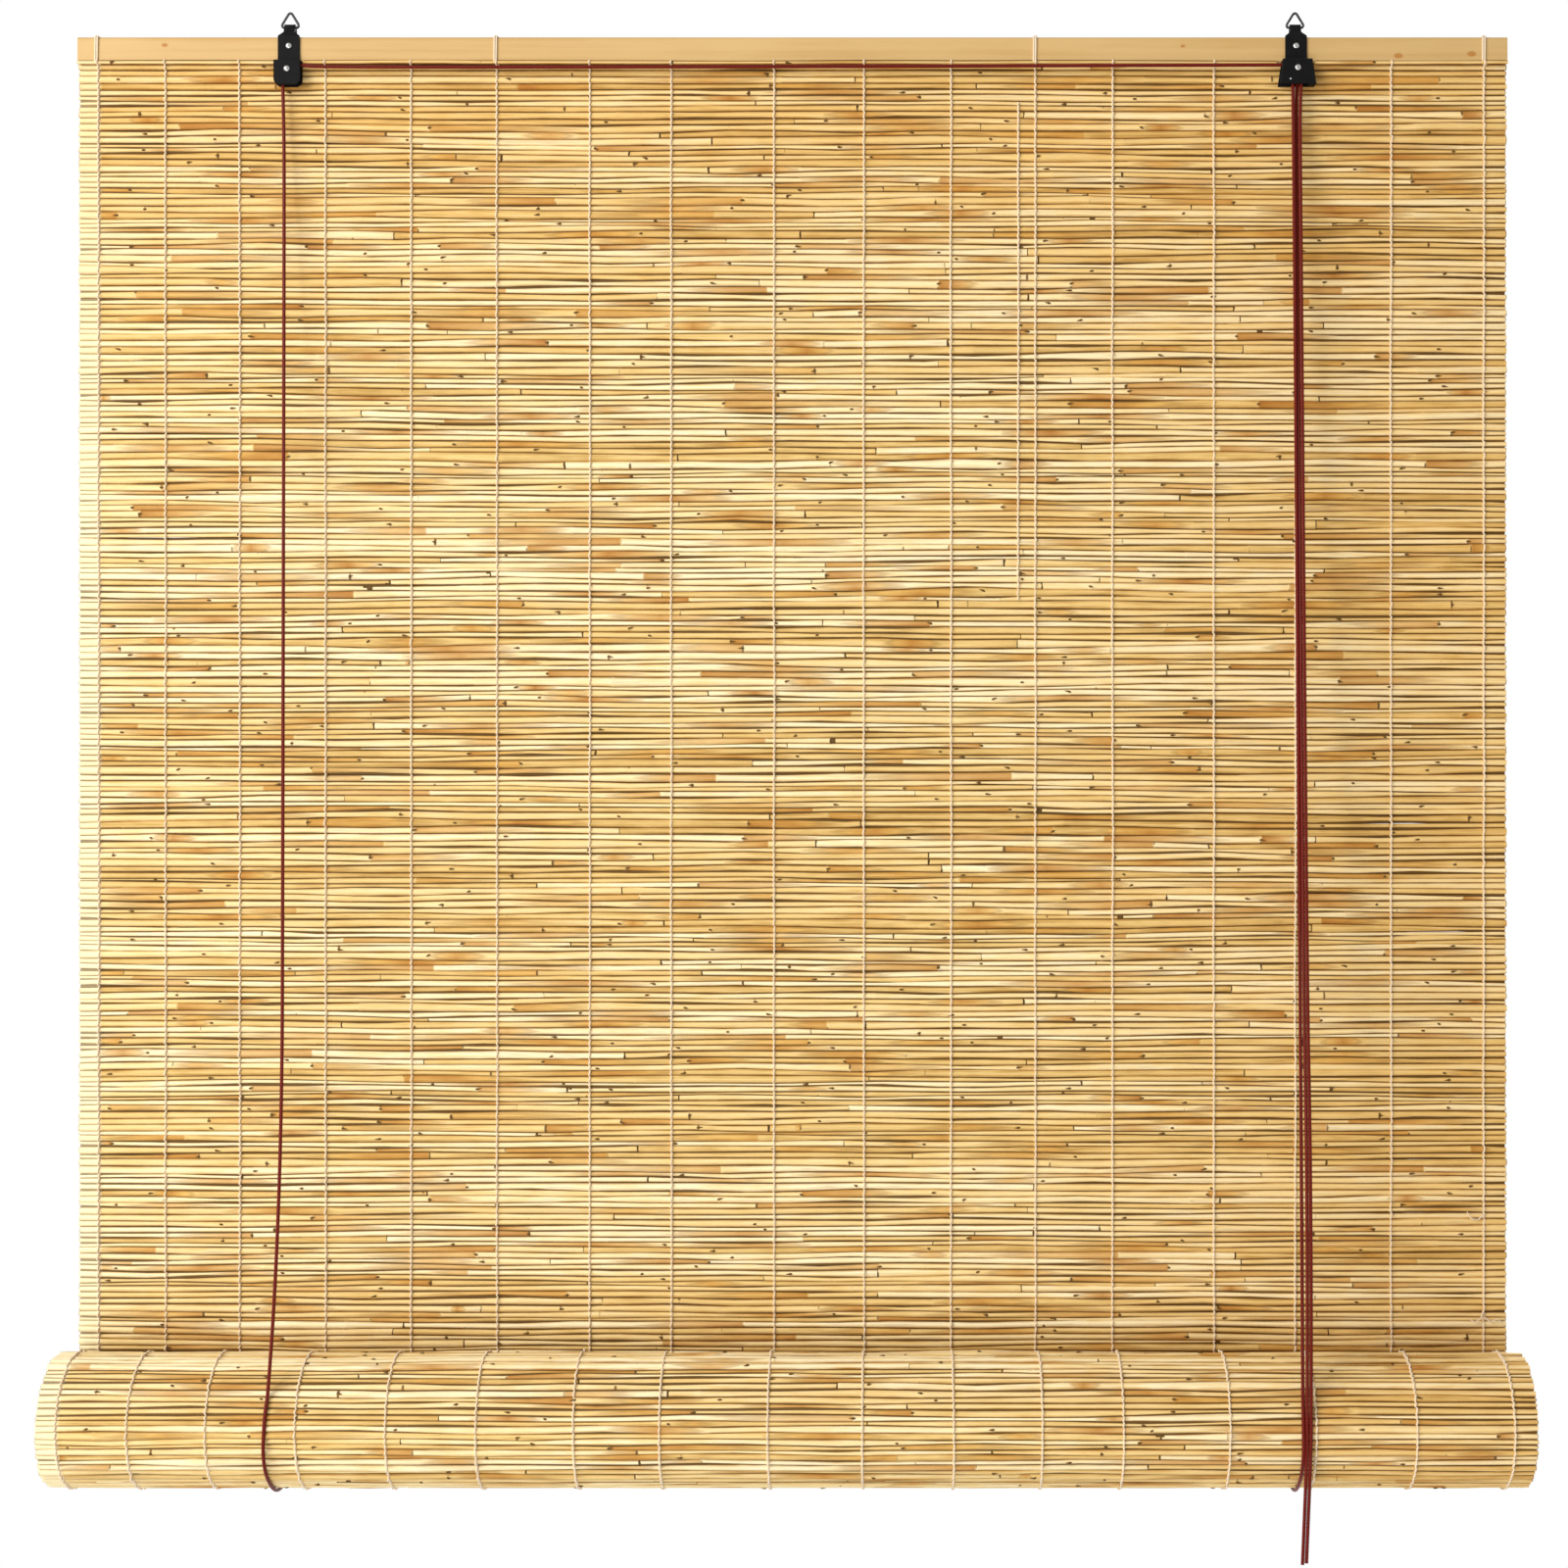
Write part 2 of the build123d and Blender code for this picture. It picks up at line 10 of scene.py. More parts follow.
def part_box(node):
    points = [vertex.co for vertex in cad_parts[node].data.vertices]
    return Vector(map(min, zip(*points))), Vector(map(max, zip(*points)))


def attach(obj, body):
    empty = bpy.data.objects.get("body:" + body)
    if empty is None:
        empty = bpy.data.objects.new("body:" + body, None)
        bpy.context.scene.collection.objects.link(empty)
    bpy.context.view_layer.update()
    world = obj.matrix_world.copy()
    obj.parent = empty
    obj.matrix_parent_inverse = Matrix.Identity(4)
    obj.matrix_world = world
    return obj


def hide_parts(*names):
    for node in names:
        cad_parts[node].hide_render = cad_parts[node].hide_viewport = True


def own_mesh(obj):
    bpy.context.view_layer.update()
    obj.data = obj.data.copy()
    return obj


bl_info = {
    "name": "Reed roll-up blind",
    "version": (1, 0, 0),
    "blender": (4, 5, 0),
    "location": "View3D > Sidebar > Blind",
    "description": "Builds the reeds, twine, cords, fittings and studio of a roll-up blind",
    "category": "Object",
}

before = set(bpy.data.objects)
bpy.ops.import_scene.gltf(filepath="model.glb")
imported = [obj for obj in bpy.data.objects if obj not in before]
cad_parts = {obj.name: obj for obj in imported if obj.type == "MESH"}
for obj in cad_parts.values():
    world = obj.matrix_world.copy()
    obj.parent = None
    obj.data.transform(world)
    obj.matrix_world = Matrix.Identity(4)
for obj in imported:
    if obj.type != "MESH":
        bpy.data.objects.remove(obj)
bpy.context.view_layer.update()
PANEL_LOW, PANEL_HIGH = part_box("mat_panel")
BATTEN_LOW, BATTEN_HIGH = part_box("head_batten")
MAT_WIDTH = PANEL_HIGH.x - PANEL_LOW.x
HALF_MAT = (PANEL_HIGH.y - PANEL_LOW.y) / 2
HOOK_SIDE = 0.352
ROLL_AXIS_Y = -0.0442
ROLL_AXIS_Z = PANEL_LOW.z
HALF_TURNS = 13
TWINE_SHARES = (
    -0.486, -0.439, -0.387, -0.327, -0.267, -0.207, -0.142, -0.085, -0.013,
    0.050, 0.111, 0.170, 0.224, 0.295, 0.352, 0.419, 0.484,
)
TWINES_X = [share * MAT_WIDTH for share in TWINE_SHARES]
TIED_TWINES = (0, 5, 11, 16)
# Edges of the faded strip on the left and of the painted shade towards the right and the top
FADED_X = -0.4835
SHADE_FROM_X = 0.12
SHADE_FROM_Z = -0.30
# Small knots on the batten's front: place along it, height and size
WOOD_KNOTS = (
    (-0.439, -0.0223, 0.0016), (0.273, -0.0230, 0.0012),
    (0.4237, -0.0298, 0.0022), (0.475, -0.0285, 0.0022),
)
# Twine that was started again for part of the drop, and loose ends of twine near the right edge
SPARE_TWINE_X = 0.158
SPARE_TWINE_ROWS = slice(6, 92)
FRAYED_ENDS = (
    (
        (0.4845, -0.0024, -0.8395), (0.4790, -0.0040, -0.8440),
        (0.4740, -0.0052, -0.8425), (0.4715, -0.0048, -0.8380),
    ),
    (
        (0.4840, -0.0024, -0.9120), (0.4880, -0.0045, -0.9150),
        (0.4925, -0.0050, -0.9130), (0.4960, -0.0042, -0.9155),
    ),
    (
        (0.4835, -0.0024, -0.9080), (0.4810, -0.0046, -0.9130),
        (0.4770, -0.0050, -0.9150), (0.4735, -0.0044, -0.9135),
    ),
)
FRAYED_THICKS = (0.45, 0.40, 0.34, 0.22)
# Length of one turn of the twine's plies and of the cord's braid
PLY_LENGTH = 0.0022
BRAID_LENGTH = 0.0042
# Stalk: its cut end's dark rim and plain length, the step on bare cane, and ranges of its draws
CUT_RIM = 0.0008
CUT_END = 0.004
BARE_STEP = 0.04
FIRST_JOINT = (0.02, 0.14)
NEXT_JOINT = (0.09, 0.21)
JOINT_MARKS = (0.45, 0.6, 0.7, 1.0)
LEAF_CHANCE = 0.58
LEAF_COVER = (0.45, 1.0)
LEAF_REACH = (0.025, 0.12)
SHORTEST_LEAF = 0.012
# Row: its stalks' lengths and fills, the ragged edge of the mat, and the least sizes of a stalk
STALK_LENGTHS = (0.35, 1.9)
STALK_FILLS = (0.90, 0.95, 0.99, 1.02, 1.05, 1.10)
ROW_HEIGHTS = (0.74, 0.84, 0.92, 0.97, 1.0, 1.04, 1.10, 1.18, 1.28)
RAGGED_EDGE = 0.0007
SHORTEST_STALK = 0.03
SHORTEST_REST = 0.12
THINNEST_STALK = 0.0011
CLOSEST_STATIONS = 0.0002
END_LAP = 0.003
TIP_CHANCE = 0.75
# Edges between rows: their long and short waves, the widest gap, and the steps of the dark stalk of
# painted shade that closes it
LONG_WAVE = 0.0020
SHORT_WAVE = 0.0021
WIDEST_GAP = 0.0014
JOIN_STEPS = 30
JOIN_THICK = 0.0014
JOIN_DEPTH = 0.0005
JOIN_INSET = 0.001
# Tip of a torn sheath: the range of its length, and the thickness of its three points
TIP_LENGTH = (0.0012, 0.0036)
TIP_THICKS = (0.00055, 0.00085, 0.00012)
# Twine: how far it sways and strays, and the bend of a tie at the batten's edges
TWINE_SWAY = 0.0005
TWINE_STRAY = 0.00015
TIE_BEND = 0.0011
TIE_STRAY = 0.0001
# Thin row that laps the batten: how far it stands out, its share of a row, and its drop below
HEAD_ROW_PROUD = 0.0006
HEAD_ROW_SHARE = 0.5
HEAD_ROW_DROP = 0.0012
# Thickness of the dark stalk of painted shade along the head row's top edge, against the batten's
# lower edge
HEAD_JOIN_THICK = 0.0008
HOOK_BACK_Y = -0.0018
# Lap of the outer turn past the panel's foot, and the depth of the stalk ends seen in the roll
SEAM_LAP = 0.012
ROLL_END = 0.06
ROLL_RAGGED_EDGE = 0.0010
# Sides and unevenness of the strands
REED_SIDES, HEAD_ROW_SIDES, JOIN_SIDES, TWINE_SIDES, TIE_SIDES, ROUND_SIDES = 6, 8, 4, 5, 6, 12
REED_UNEVEN, TWINE_UNEVEN, TIE_UNEVEN = 0.02, 0.06, 0.05
# Ring wire and its bends, and the fittings' faces
RING_WIRE = 0.0009
RING_BEND = 0.0016
EDGE_BEVEL = 0.0003
STRAP_FACE_Y = -0.0052
COVER_BACK_Y = -0.004
RIVET_SIZE = 0.0022
RIVET_SIDES = 20
LOCK_PIN_X, LOCK_PIN_Z, LOCK_PIN_SHARE = 0.3469, -0.0484, 0.34
# The photograph's side, the lens and the shift of the view in its pixels
PHOTO_PX, LENS_PX, SHIFT_PX = 1600, 2510, -121
SENSOR_MM = 36.0


def measure(name, description, default):
    """Length property with its words and default."""
    return bpy.props.FloatProperty(
        name=name, description=description, default=default, unit="LENGTH"
    )


class BlindSizes(bpy.types.PropertyGroup):
    """Sizes of the reeds, twine and cords."""

    reed_pitch: measure("Reed pitch", "Height of one row of reeds", 0.0041)
    reed_fill: bpy.props.FloatProperty(
        name="Reed fill", description="Share of a row's height that its stalks fill",
        default=1.0, subtype="FACTOR",
    )
    stalk_length: measure("Stalk length", "Usual length of a stalk in a row", 0.496)
    twine_thickness: measure("Twine thickness", "Thickness of one strand of twine", 0.0014)
    cord_thickness: measure("Cord thickness", "Thickness of the lift and pull cords", 0.0024)
    roll_radius: measure("Roll radius", "Outside radius of the rolled mat", 0.046)
    turn_pitch: measure("Turn pitch", "Thickness of one turn of the roll", 0.0048)
    seed: bpy.props.IntProperty(name="Seed", description="Seed of all that is scattered", default=7)


def colour(name, description, default):
    """Colour property with its words and default."""
    return bpy.props.FloatVectorProperty(
        name=name, description=description, default=default, size=3, subtype="COLOR", min=0, max=1
    )


class BlindColours(bpy.types.PropertyGroup):
    """Colours of the finishes."""

    bleached: colour("Bleached straw", "Palest streaks of the stalks", (0.96, 0.83, 0.53))
    pale_straw: colour("Pale straw", "Light stalks", (0.90, 0.70, 0.35))
    straw: colour("Straw", "Usual stalks", (0.79, 0.545, 0.20))
    dull_straw: colour("Dull straw", "Darkest stalks", (0.52, 0.31, 0.085))
    golden_sheath: colour("Golden sheath", "Thin leaf sheaths", (0.70, 0.39, 0.075))
    sheath: colour("Sheath", "Thick leaf sheaths", (0.42, 0.16, 0.025))
    # Groove: painted shade that the flanks of the stalks take in the grooves between the rows
    groove: colour("Groove", "Painted shade between the stalks", (0.40, 0.175, 0.020))
    # Node mark: dark joints and cut ends of the reeds, and painted shade on the dark stalks laid in
    # the gaps between stalks and rows
    node_mark_and_gap_shade: colour("Node mark", "Joints, cut ends and gaps", (0.075, 0.032, 0.004))
    # Warmth: painted shade that darkens and warms the reeds towards the right and the top of the
    # mat
    painted_warm_shade: colour("Warmth", "Painted shade towards the right and the top", (0.94, 0.86, 0.74))
    twine: colour("Twine", "Cotton twine", (0.86, 0.68, 0.46))
    cord: colour("Cord", "Braided cords", (0.100, 0.005, 0.002))
    wood: colour("Wood", "Planed battens", (0.585, 0.376, 0.151))
    steel: colour("Steel", "Painted straps and housings", (0.004, 0.004, 0.004))


def math_method(operation, reflected=False):
    """Method of a value that adds one Math node, with the value last where it is reflected."""

    def method(self, *others):
        terms = (*others, self) if reflected else (self, *others)
        return self.sheet.sum(operation, *terms)

    return method


class Value:
    """A node's output that takes part in sums, which add the Math nodes that they stand for."""

    def __init__(self, sheet, socket):
        self.sheet = sheet
        self.socket = socket

    __add__ = math_method("ADD")
    __radd__ = math_method("ADD", reflected=True)
    __sub__ = math_method("SUBTRACT")
    __rsub__ = math_method("SUBTRACT", reflected=True)
    __mul__ = math_method("MULTIPLY")
    __rmul__ = math_method("MULTIPLY", reflected=True)
    __truediv__ = math_method("DIVIDE")
    __pow__ = math_method("POWER")
    __abs__ = math_method("ABSOLUTE")
    sine = math_method("SINE")

    def limited(self):
        """The value kept between 0 and 1."""
        return self.sheet.value("ShaderNodeClamp", {}, {"Value": self})


class NodeSheet:
    """A node tree that is filled from Python."""

    def __init__(self, tree):
        self.tree = tree

    def node(self, kind, settings, sockets):
        """New node: its settings, then the values or links of its sockets by name or number."""
        made = self.tree.nodes.new(kind)
        for name, setting in settings.items():
            if name == "stops":
                ramp = made.color_ramp
                while len(ramp.elements) < len(setting):
                    ramp.elements.new(0.5)
                for element, (place, shade) in zip(ramp.elements, setting):
                    element.position = place
                    element.color = (*shade, 1)
            else:
                setattr(made, name, setting)
        for name, given in sockets.items():
            if isinstance(given, Value):
                self.tree.links.new(given.socket, made.inputs[name])
            else:
                made.inputs[name].default_value = given
        return made

    def value(self, kind, settings, sockets, out=0):
        """One output of a new node."""
        return Value(self, self.node(kind, settings, sockets).outputs[out])

    def sum(self, operation, *terms):
        """Math node over one or more values."""
        return self.value("ShaderNodeMath", {"operation": operation}, dict(enumerate(terms)))

    def mix(self, share, first, second, blend="MIX"):
        """Colour that goes from the first to the second as the share goes from 0 to 1."""
        sockets = {0: share}
        for number, shade in ((6, first), (7, second)):
            sockets[number] = shade if isinstance(shade, Value) else (*shade, 1.0)
        settings = {"data_type": "RGBA", "blend_type": blend}
        return self.value("ShaderNodeMix", settings, sockets, out=2)

    def attribute(self, name):
        """Number written on a piece's points."""
        return self.value("ShaderNodeAttribute", {"attribute_name": name}, {}, out=2)

    def around(self):
        """Angle round a strand in radians."""
        return self.sum("ARCTAN2", self.attribute("side_b"), self.attribute("side_a"))

    def place(self, stretch=(1, 1, 1)):
        """Place on the piece in metres, stretched along each axis."""
        spot = self.value("ShaderNodeTexCoord", {}, {}, out=3)
        return self.value("ShaderNodeMapping", {}, {"Vector": spot, "Scale": stretch})

    def axes(self, spot):
        """The three numbers of a place."""
        parts = self.node("ShaderNodeSeparateXYZ", {}, {"Vector": spot})
        return [Value(self, part) for part in parts.outputs]

    def noise(self, stretch=(1, 1, 1), scale=1.0, detail=3.0):
        """Noise between 0 and 1 on the piece, stretched along each axis."""
        sockets = {"Vector": self.place(stretch), "Scale": scale, "Detail": detail}
        return self.value("ShaderNodeTexNoise", {}, sockets)

    def bump(self, height, strength, distance):
        """Normal bent by a height."""
        sockets = {"Height": height, "Strength": strength, "Distance": distance}
        return self.value("ShaderNodeBump", {}, sockets)


def finish_sheet(name, sockets=None):
    """New material, its sheet and its shader, with the constants already on the shader."""
    material = bpy.data.materials.new(name)
    material.use_nodes = True
    material.node_tree.nodes.clear()
    sheet = NodeSheet(material.node_tree)
    shader = sheet.node("ShaderNodeBsdfPrincipled", {}, sockets or {})
    sheet.node("ShaderNodeOutputMaterial", {}, {"Surface": Value(sheet, shader.outputs[0])})
    return material, sheet, shader


def feed(sheet, shader, **links):
    """Link values to the shader's sockets, named with underscores."""
    for name, given in links.items():
        sheet.tree.links.new(given.socket, shader.inputs[name.replace("_", " ")])


def reed_finish(shades):
    """Dry reed: straw of many tones, leaf sheaths that taper off, dark joints and cut ends, and
    painted shade in the grooves, in the gaps and towards the right and the top.
    """
    material, sheet, shader = finish_sheet("reed", {"Specular IOR Level": 0.15})
    stalk = sheet.attribute("stalk")
    sheath = sheet.attribute("sheath")
    joint = sheet.attribute("joint")
    groove = sheet.attribute("groove")
    angle = sheet.around()
    streak = sheet.noise((9, 900, 900))
    blotch = sheet.noise((42, 160, 160))
    tone = (stalk * 0.8 + (streak - 0.5) * 1.1 + (blotch - 0.5) * 0.7 + 0.17).limited()
    stops = (
        (0.0, shades.dull_straw), (0.35, shades.straw),
        (0.75, shades.pale_straw), (1.0, shades.bleached),
    )
    base = sheet.value("ShaderNodeValToRGB", {"stops": stops}, {"Fac": tone})
    covered = ((sheath - groove * 0.3 + (streak - 0.5) * 0.5 + (blotch - 0.5) * 0.4) * 3).limited()
    worn = (1.05 - sheath * 0.9 + (blotch - 0.5) * 1.2 + (streak - 0.5) * 0.8).limited()
    leaf = sheet.mix(worn, shades.sheath, shades.golden_sheath)
    base = sheet.mix(covered * (sheath * 0.5 + 0.45), base, leaf)
    rim = covered * (1 - covered) * 4
    base = sheet.mix(rim * 0.3, base, [c * 0.5 for c in shades.sheath])
    side = ((angle + stalk * 40).sine() * 1.5 + 0.4).limited()
    # Dark joint marks and cut ends are the reed's own; the dark stalks laid in the gaps carry the
    # same mark as painted shade
    mark_and_gap_shade = ((joint * (side * 0.65 + 0.35) - 0.3 + (blotch - 0.5) * 0.5) * 3).limited()
    base = sheet.mix(mark_and_gap_shade * 0.9, base, shades.node_mark_and_gap_shade)
    stain_and_shade_spread = sheet.noise((40, 250, 250))
    # Painted shade in the grooves: the flanks that face the neighbouring rows darken towards the
    # groove colour, patchily along the stalk
    base = sheet.mix((groove**3 * (stain_and_shade_spread * 3.0 - 0.7)).limited(), base, shades.groove)
    along, _, up = sheet.axes(sheet.place())
    faded = ((FADED_X - along) * 500).limited()
    base = sheet.mix(faded * (0.75 - mark_and_gap_shade * 0.5), base, shades.bleached)
    # Painted shade: darker and warmer towards the right and the top of the mat
    right = ((along - SHADE_FROM_X) * 3.0).limited()
    top = ((up - SHADE_FROM_Z) * 4.5).limited()
    base = sheet.mix((right + top).limited(), base, shades.painted_warm_shade, "MULTIPLY")
    feed(sheet, shader, Base_Color=base, Roughness=streak * 0.25 + 0.40)
    feed(sheet, shader, Normal=sheet.bump(streak, 0.25, 0.0004))
    return material


def twine_finish(shades):
    """Two-ply cotton twine, with painted shade in the creases between its plies."""
    material, sheet, shader = finish_sheet("twine", {"Roughness": 0.85, "Sheen Weight": 0.3})
    angle = sheet.around()
    ply = (angle * 2 + sheet.attribute("span") * (tau / PLY_LENGTH)).sine() * 0.5 + 0.5
    fuzz = sheet.noise(scale=900.0)
    # Painted shade in the creases between the plies, broken by the fibres' own fuzz
    ply_crease_shade = [c * 0.80 for c in shades.twine]
    shade = sheet.mix((ply * 0.6 + fuzz * 0.5).limited(), ply_crease_shade, shades.twine)
    feed(sheet, shader, Base_Color=shade, Normal=sheet.bump(ply * 0.8 + fuzz * 0.4, 0.35, 0.0002))
    return material


def cord_finish(shades):
    """Braided cord with a dull shine, and painted highlight and shade on its braid."""
    material, sheet, shader = finish_sheet("cord", {"Specular IOR Level": 0.12})
    angle = sheet.around()
    turn = sheet.attribute("span") * (tau / BRAID_LENGTH)
    left = (angle * 4 + turn).sine()
    right = (angle * 4 - turn).sine()
    braid = (left * right * 0.5 + 0.5).limited()
    fibre = sheet.noise(scale=1400.0)
    # Painted highlight and shade on the braid: a lit copy of the cord colour on the crossing
    # strands, a shaded copy between them
    light = [c * 2.2 + 0.002 for c in shades.cord]
    dark = [c * 0.4 for c in shades.cord]
    shade = sheet.mix((braid * 0.8 + fibre * 0.2).limited(), dark, light)
    feed(sheet, shader, Base_Color=shade, Roughness=fibre * 0.15 + 0.28)
    feed(sheet, shader, Normal=sheet.bump(braid, 0.6, 0.0003))
    return material


def wood_finish(shades):
    """Planed softwood with straight grain, fine pores and a few small knots."""
    material, sheet, shader = finish_sheet("batten wood", {"Specular IOR Level": 0.2})
    along, _, up = sheet.axes(sheet.place())
    knot = None
    for x, z, size in WOOD_KNOTS:
        near = (1 - ((along - x) / (size * 1.7)) ** 2 - ((up - z) / size) ** 2).limited()
        knot = near if knot is None else (knot + near).limited()
    wander = sheet.noise((2.5, 40, 40))
    bands = (sheet.noise((0.9, 90, 90)) * 14 + wander * 10).sine() * 0.5 + 0.5
    pores = sheet.noise((45, 1800, 1800))
    patch = sheet.noise((8, 30, 30))
    late = [c * share for c, share in zip(shades.wood, (0.84, 0.75, 0.62))]
    pale = [c * share for c, share in zip(shades.wood, (1.10, 1.16, 1.25))]
    shade = sheet.mix((bands * 0.6 + (pores - 0.5) * 0.7).limited(), shades.wood, late)
    shade = sheet.mix((patch * 2.4 - 0.9).limited() * 0.7, shade, pale)
    shade = sheet.mix((knot * 1.6).limited() * 0.8, shade, shades.sheath)
    feed(sheet, shader, Base_Color=shade, Roughness=bands * 0.12 + 0.50)
    feed(sheet, shader, Normal=sheet.bump(bands * 0.4 + pores * 0.6, 0.15, 0.0002))
    return material


def paint_finish(shades):
    """Satin black paint on pressed steel, slightly uneven and dusty."""
    material, sheet, shader = finish_sheet("black paint", {"Specular IOR Level": 0.07})
    orange_peel = sheet.noise(scale=900.0)
    dust = sheet.noise(scale=160.0, detail=6.0)
    dusty = [c + 0.003 for c in shades.steel]
    shade = sheet.mix((dust * 2.2 - 0.9).limited(), shades.steel, dusty)
    feed(sheet, shader, Base_Color=shade, Roughness=dust * 0.25 + 0.34)
    feed(sheet, shader, Normal=sheet.bump(orange_peel, 0.12, 0.0003))
    return material


def metal_finish(name, shade, low, high):
    """Bare or plated metal with faint scuffs."""
    material, sheet, shader = finish_sheet(name, {"Metallic": 1.0})
    scuff = sheet.noise(scale=700.0, detail=5.0)
    stain_and_shade_spread = sheet.noise(scale=220.0)
    dull = [c * 0.7 for c in shade]
    feed(sheet, shader, Base_Color=sheet.mix((stain_and_shade_spread * 1.6 - 0.4).limited(), shade, dull))
    feed(sheet, shader, Roughness=scuff * (high - low) + low)
    feed(sheet, shader, Normal=sheet.bump(scuff, 0.08, 0.0002))
    return material


def plastic_finish():
    """Black moulded plastic of the wheels."""
    material, sheet, shader = finish_sheet("wheel plastic", {"Specular IOR Level": 0.5})
    flow = sheet.noise(scale=420.0)
    shade = sheet.mix(flow, (0.016, 0.016, 0.017), (0.035, 0.034, 0.033))
    feed(sheet, shader, Base_Color=shade, Roughness=flow * 0.2 + 0.28)
    return material


@cache
def finish(name):
    """Material of one finish, made once."""
    shades = bpy.context.scene.blind_colours
    makers = {
        "reed": lambda: reed_finish(shades),
        "twine": lambda: twine_finish(shades),
        "cord": lambda: cord_finish(shades),
        "wood": lambda: wood_finish(shades),
        "paint": lambda: paint_finish(shades),
        "wire": lambda: metal_finish("dark wire", (0.055, 0.055, 0.058), 0.28, 0.42),
        "nickel": lambda: metal_finish("nickel", (0.42, 0.41, 0.39), 0.18, 0.32),
        "plastic": plastic_finish,
    }
    return makers[name]()


def tree_inputs(name, inputs):
    """New geometry tree with named inputs, one geometry output, and its sheet and input values."""
    tree = bpy.data.node_groups.new(name, "GeometryNodeTree")
    for label, kind in inputs.items():
        tree.interface.new_socket(label, in_out="INPUT", socket_type="NodeSocket" + kind)
    tree.interface.new_socket("Geometry", in_out="OUTPUT", socket_type="NodeSocketGeometry")
    sheet = NodeSheet(tree)
    group = sheet.node("NodeGroupInput", {}, {})
    given = {label: Value(sheet, group.outputs[label]) for label in inputs}
    return tree, sheet, given


def close_tree(sheet, geometry, material):
    """Last nodes of a tree: real geometry, smooth faces, material and output."""
    for kind, sockets in (
        ("GeometryNodeRealizeInstances", {}),
        ("GeometryNodeSetShadeSmooth", {"Shade Smooth": True}),
        ("GeometryNodeSetMaterial", {"Material": material}),
    ):
        geometry = sheet.value(kind, {}, {"Geometry": geometry, **sockets})
    sheet.node("NodeGroupOutput", {}, {"Geometry": geometry})


def named(sheet, kind, name):
    """Attribute of the lines, by name."""
    return sheet.value("GeometryNodeInputNamedAttribute", {"data_type": kind}, {"Name": name})


def stored(sheet, geometry, name, number):
    """Geometry with a number written on its points."""
    settings = {"data_type": "FLOAT", "domain": "POINT"}
    sockets = {"Geometry": geometry, "Name": name, "Value": number}
    return sheet.value("GeometryNodeStoreNamedAttribute", settings, sockets)


@cache
def strand_tree():
    """Tree that turns lines into round strands as thick as their points say, a little uneven."""
    inputs = {
        "Geometry": "Geometry", "Sides": "Int", "Unevenness": "Float", "Seed": "Int",
        "Finish": "Material",
    }
    tree, sheet, given = tree_inputs("Strands", inputs)
    line = sheet.value("GeometryNodeMeshToCurve", {}, {"Mesh": given["Geometry"]})
    sockets = {"Resolution": given["Sides"], "Radius": 1.0}
    ring = sheet.value("GeometryNodeCurvePrimitiveCircle", {}, sockets)
    side_a, side_b, _ = sheet.axes(sheet.value("GeometryNodeInputPosition", {}, {}))
    ring = stored(sheet, ring, "side_a", side_a)
    ring = stored(sheet, ring, "side_b", side_b)
    sockets = {2: -1.0, 3: 1.0, "Seed": given["Seed"]}
    chance = sheet.value("FunctionNodeRandomValue", {"data_type": "FLOAT"}, sockets, out=1)
    thick = named(sheet, "FLOAT", "thick") * (chance * given["Unevenness"] + 1)
    sockets = {"Curve": line, "Profile Curve": ring, "Scale": thick, "Fill Caps": True}
    tube = sheet.value("GeometryNodeCurveToMesh", {}, sockets)
    # How far each face turns towards the neighbouring rows: the mask of the painted groove shade,
    # also used to thin the sheaths on the flanks
    facing = sheet.value("GeometryNodeInputNormal", {}, {})
    across = sheet.value(
        "ShaderNodeVectorMath", {"operation": "DOT_PRODUCT"},
        {0: facing, 1: named(sheet, "FLOAT_VECTOR", "lie")}, out=1,
    )
    tube = stored(sheet, tube, "groove", abs(across))
    close_tree(sheet, tube, given["Finish"])
    return tree


@cache
def head_tree():
    """Tree that sets a rivet's head on each point, turned as the point says."""
    inputs = {"Geometry": "Geometry", "Head": "Object", "Size": "Float", "Finish": "Material"}
    tree, sheet, given = tree_inputs("Rivet heads", inputs)
    head = sheet.value("GeometryNodeObjectInfo", {}, {"Object": given["Head"]}, out=4)
    turn = named(sheet, "FLOAT_VECTOR", "turn")
    turn = sheet.value("FunctionNodeEulerToRotation", {}, {0: turn})
    size = named(sheet, "FLOAT", "share") * given["Size"]
    sockets = {"Points": given["Geometry"], "Instance": head, "Rotation": turn, "Scale": size}
    heads = sheet.value("GeometryNodeInstanceOnPoints", {}, sockets)
    close_tree(sheet, heads, given["Finish"])
    return tree


def linked(name, data):
    """New object in the scene."""
    made = bpy.data.objects.new(name, data)
    bpy.context.scene.collection.objects.link(made)
    return made


def grown(name, mesh, tree, inputs):
    """Object that a geometry tree makes from a mesh, kept as a plain mesh."""
    made = linked(name, mesh)
    modifier = made.modifiers.new("growth", "NODES")
    modifier.node_group = tree
    for item in tree.interface.items_tree:
        if item.in_out == "INPUT" and item.name in inputs:
            modifier[item.identifier] = inputs[item.name]
    graph = bpy.context.evaluated_depsgraph_get()
    plain = bpy.data.meshes.new_from_object(
        made.evaluated_get(graph), preserve_all_data_layers=True, depsgraph=graph
    )
    made.modifiers.remove(modifier)
    made.data = plain
    plain.name = name
    return made


def write_points(mesh, name, kind, numbers):
    """Write numbers on a mesh's points, one for each or three for each vector."""
    field = "vector" if kind == "FLOAT_VECTOR" else "value"
    mesh.attributes.new(name, kind, "POINT").data.foreach_set(field, numbers)


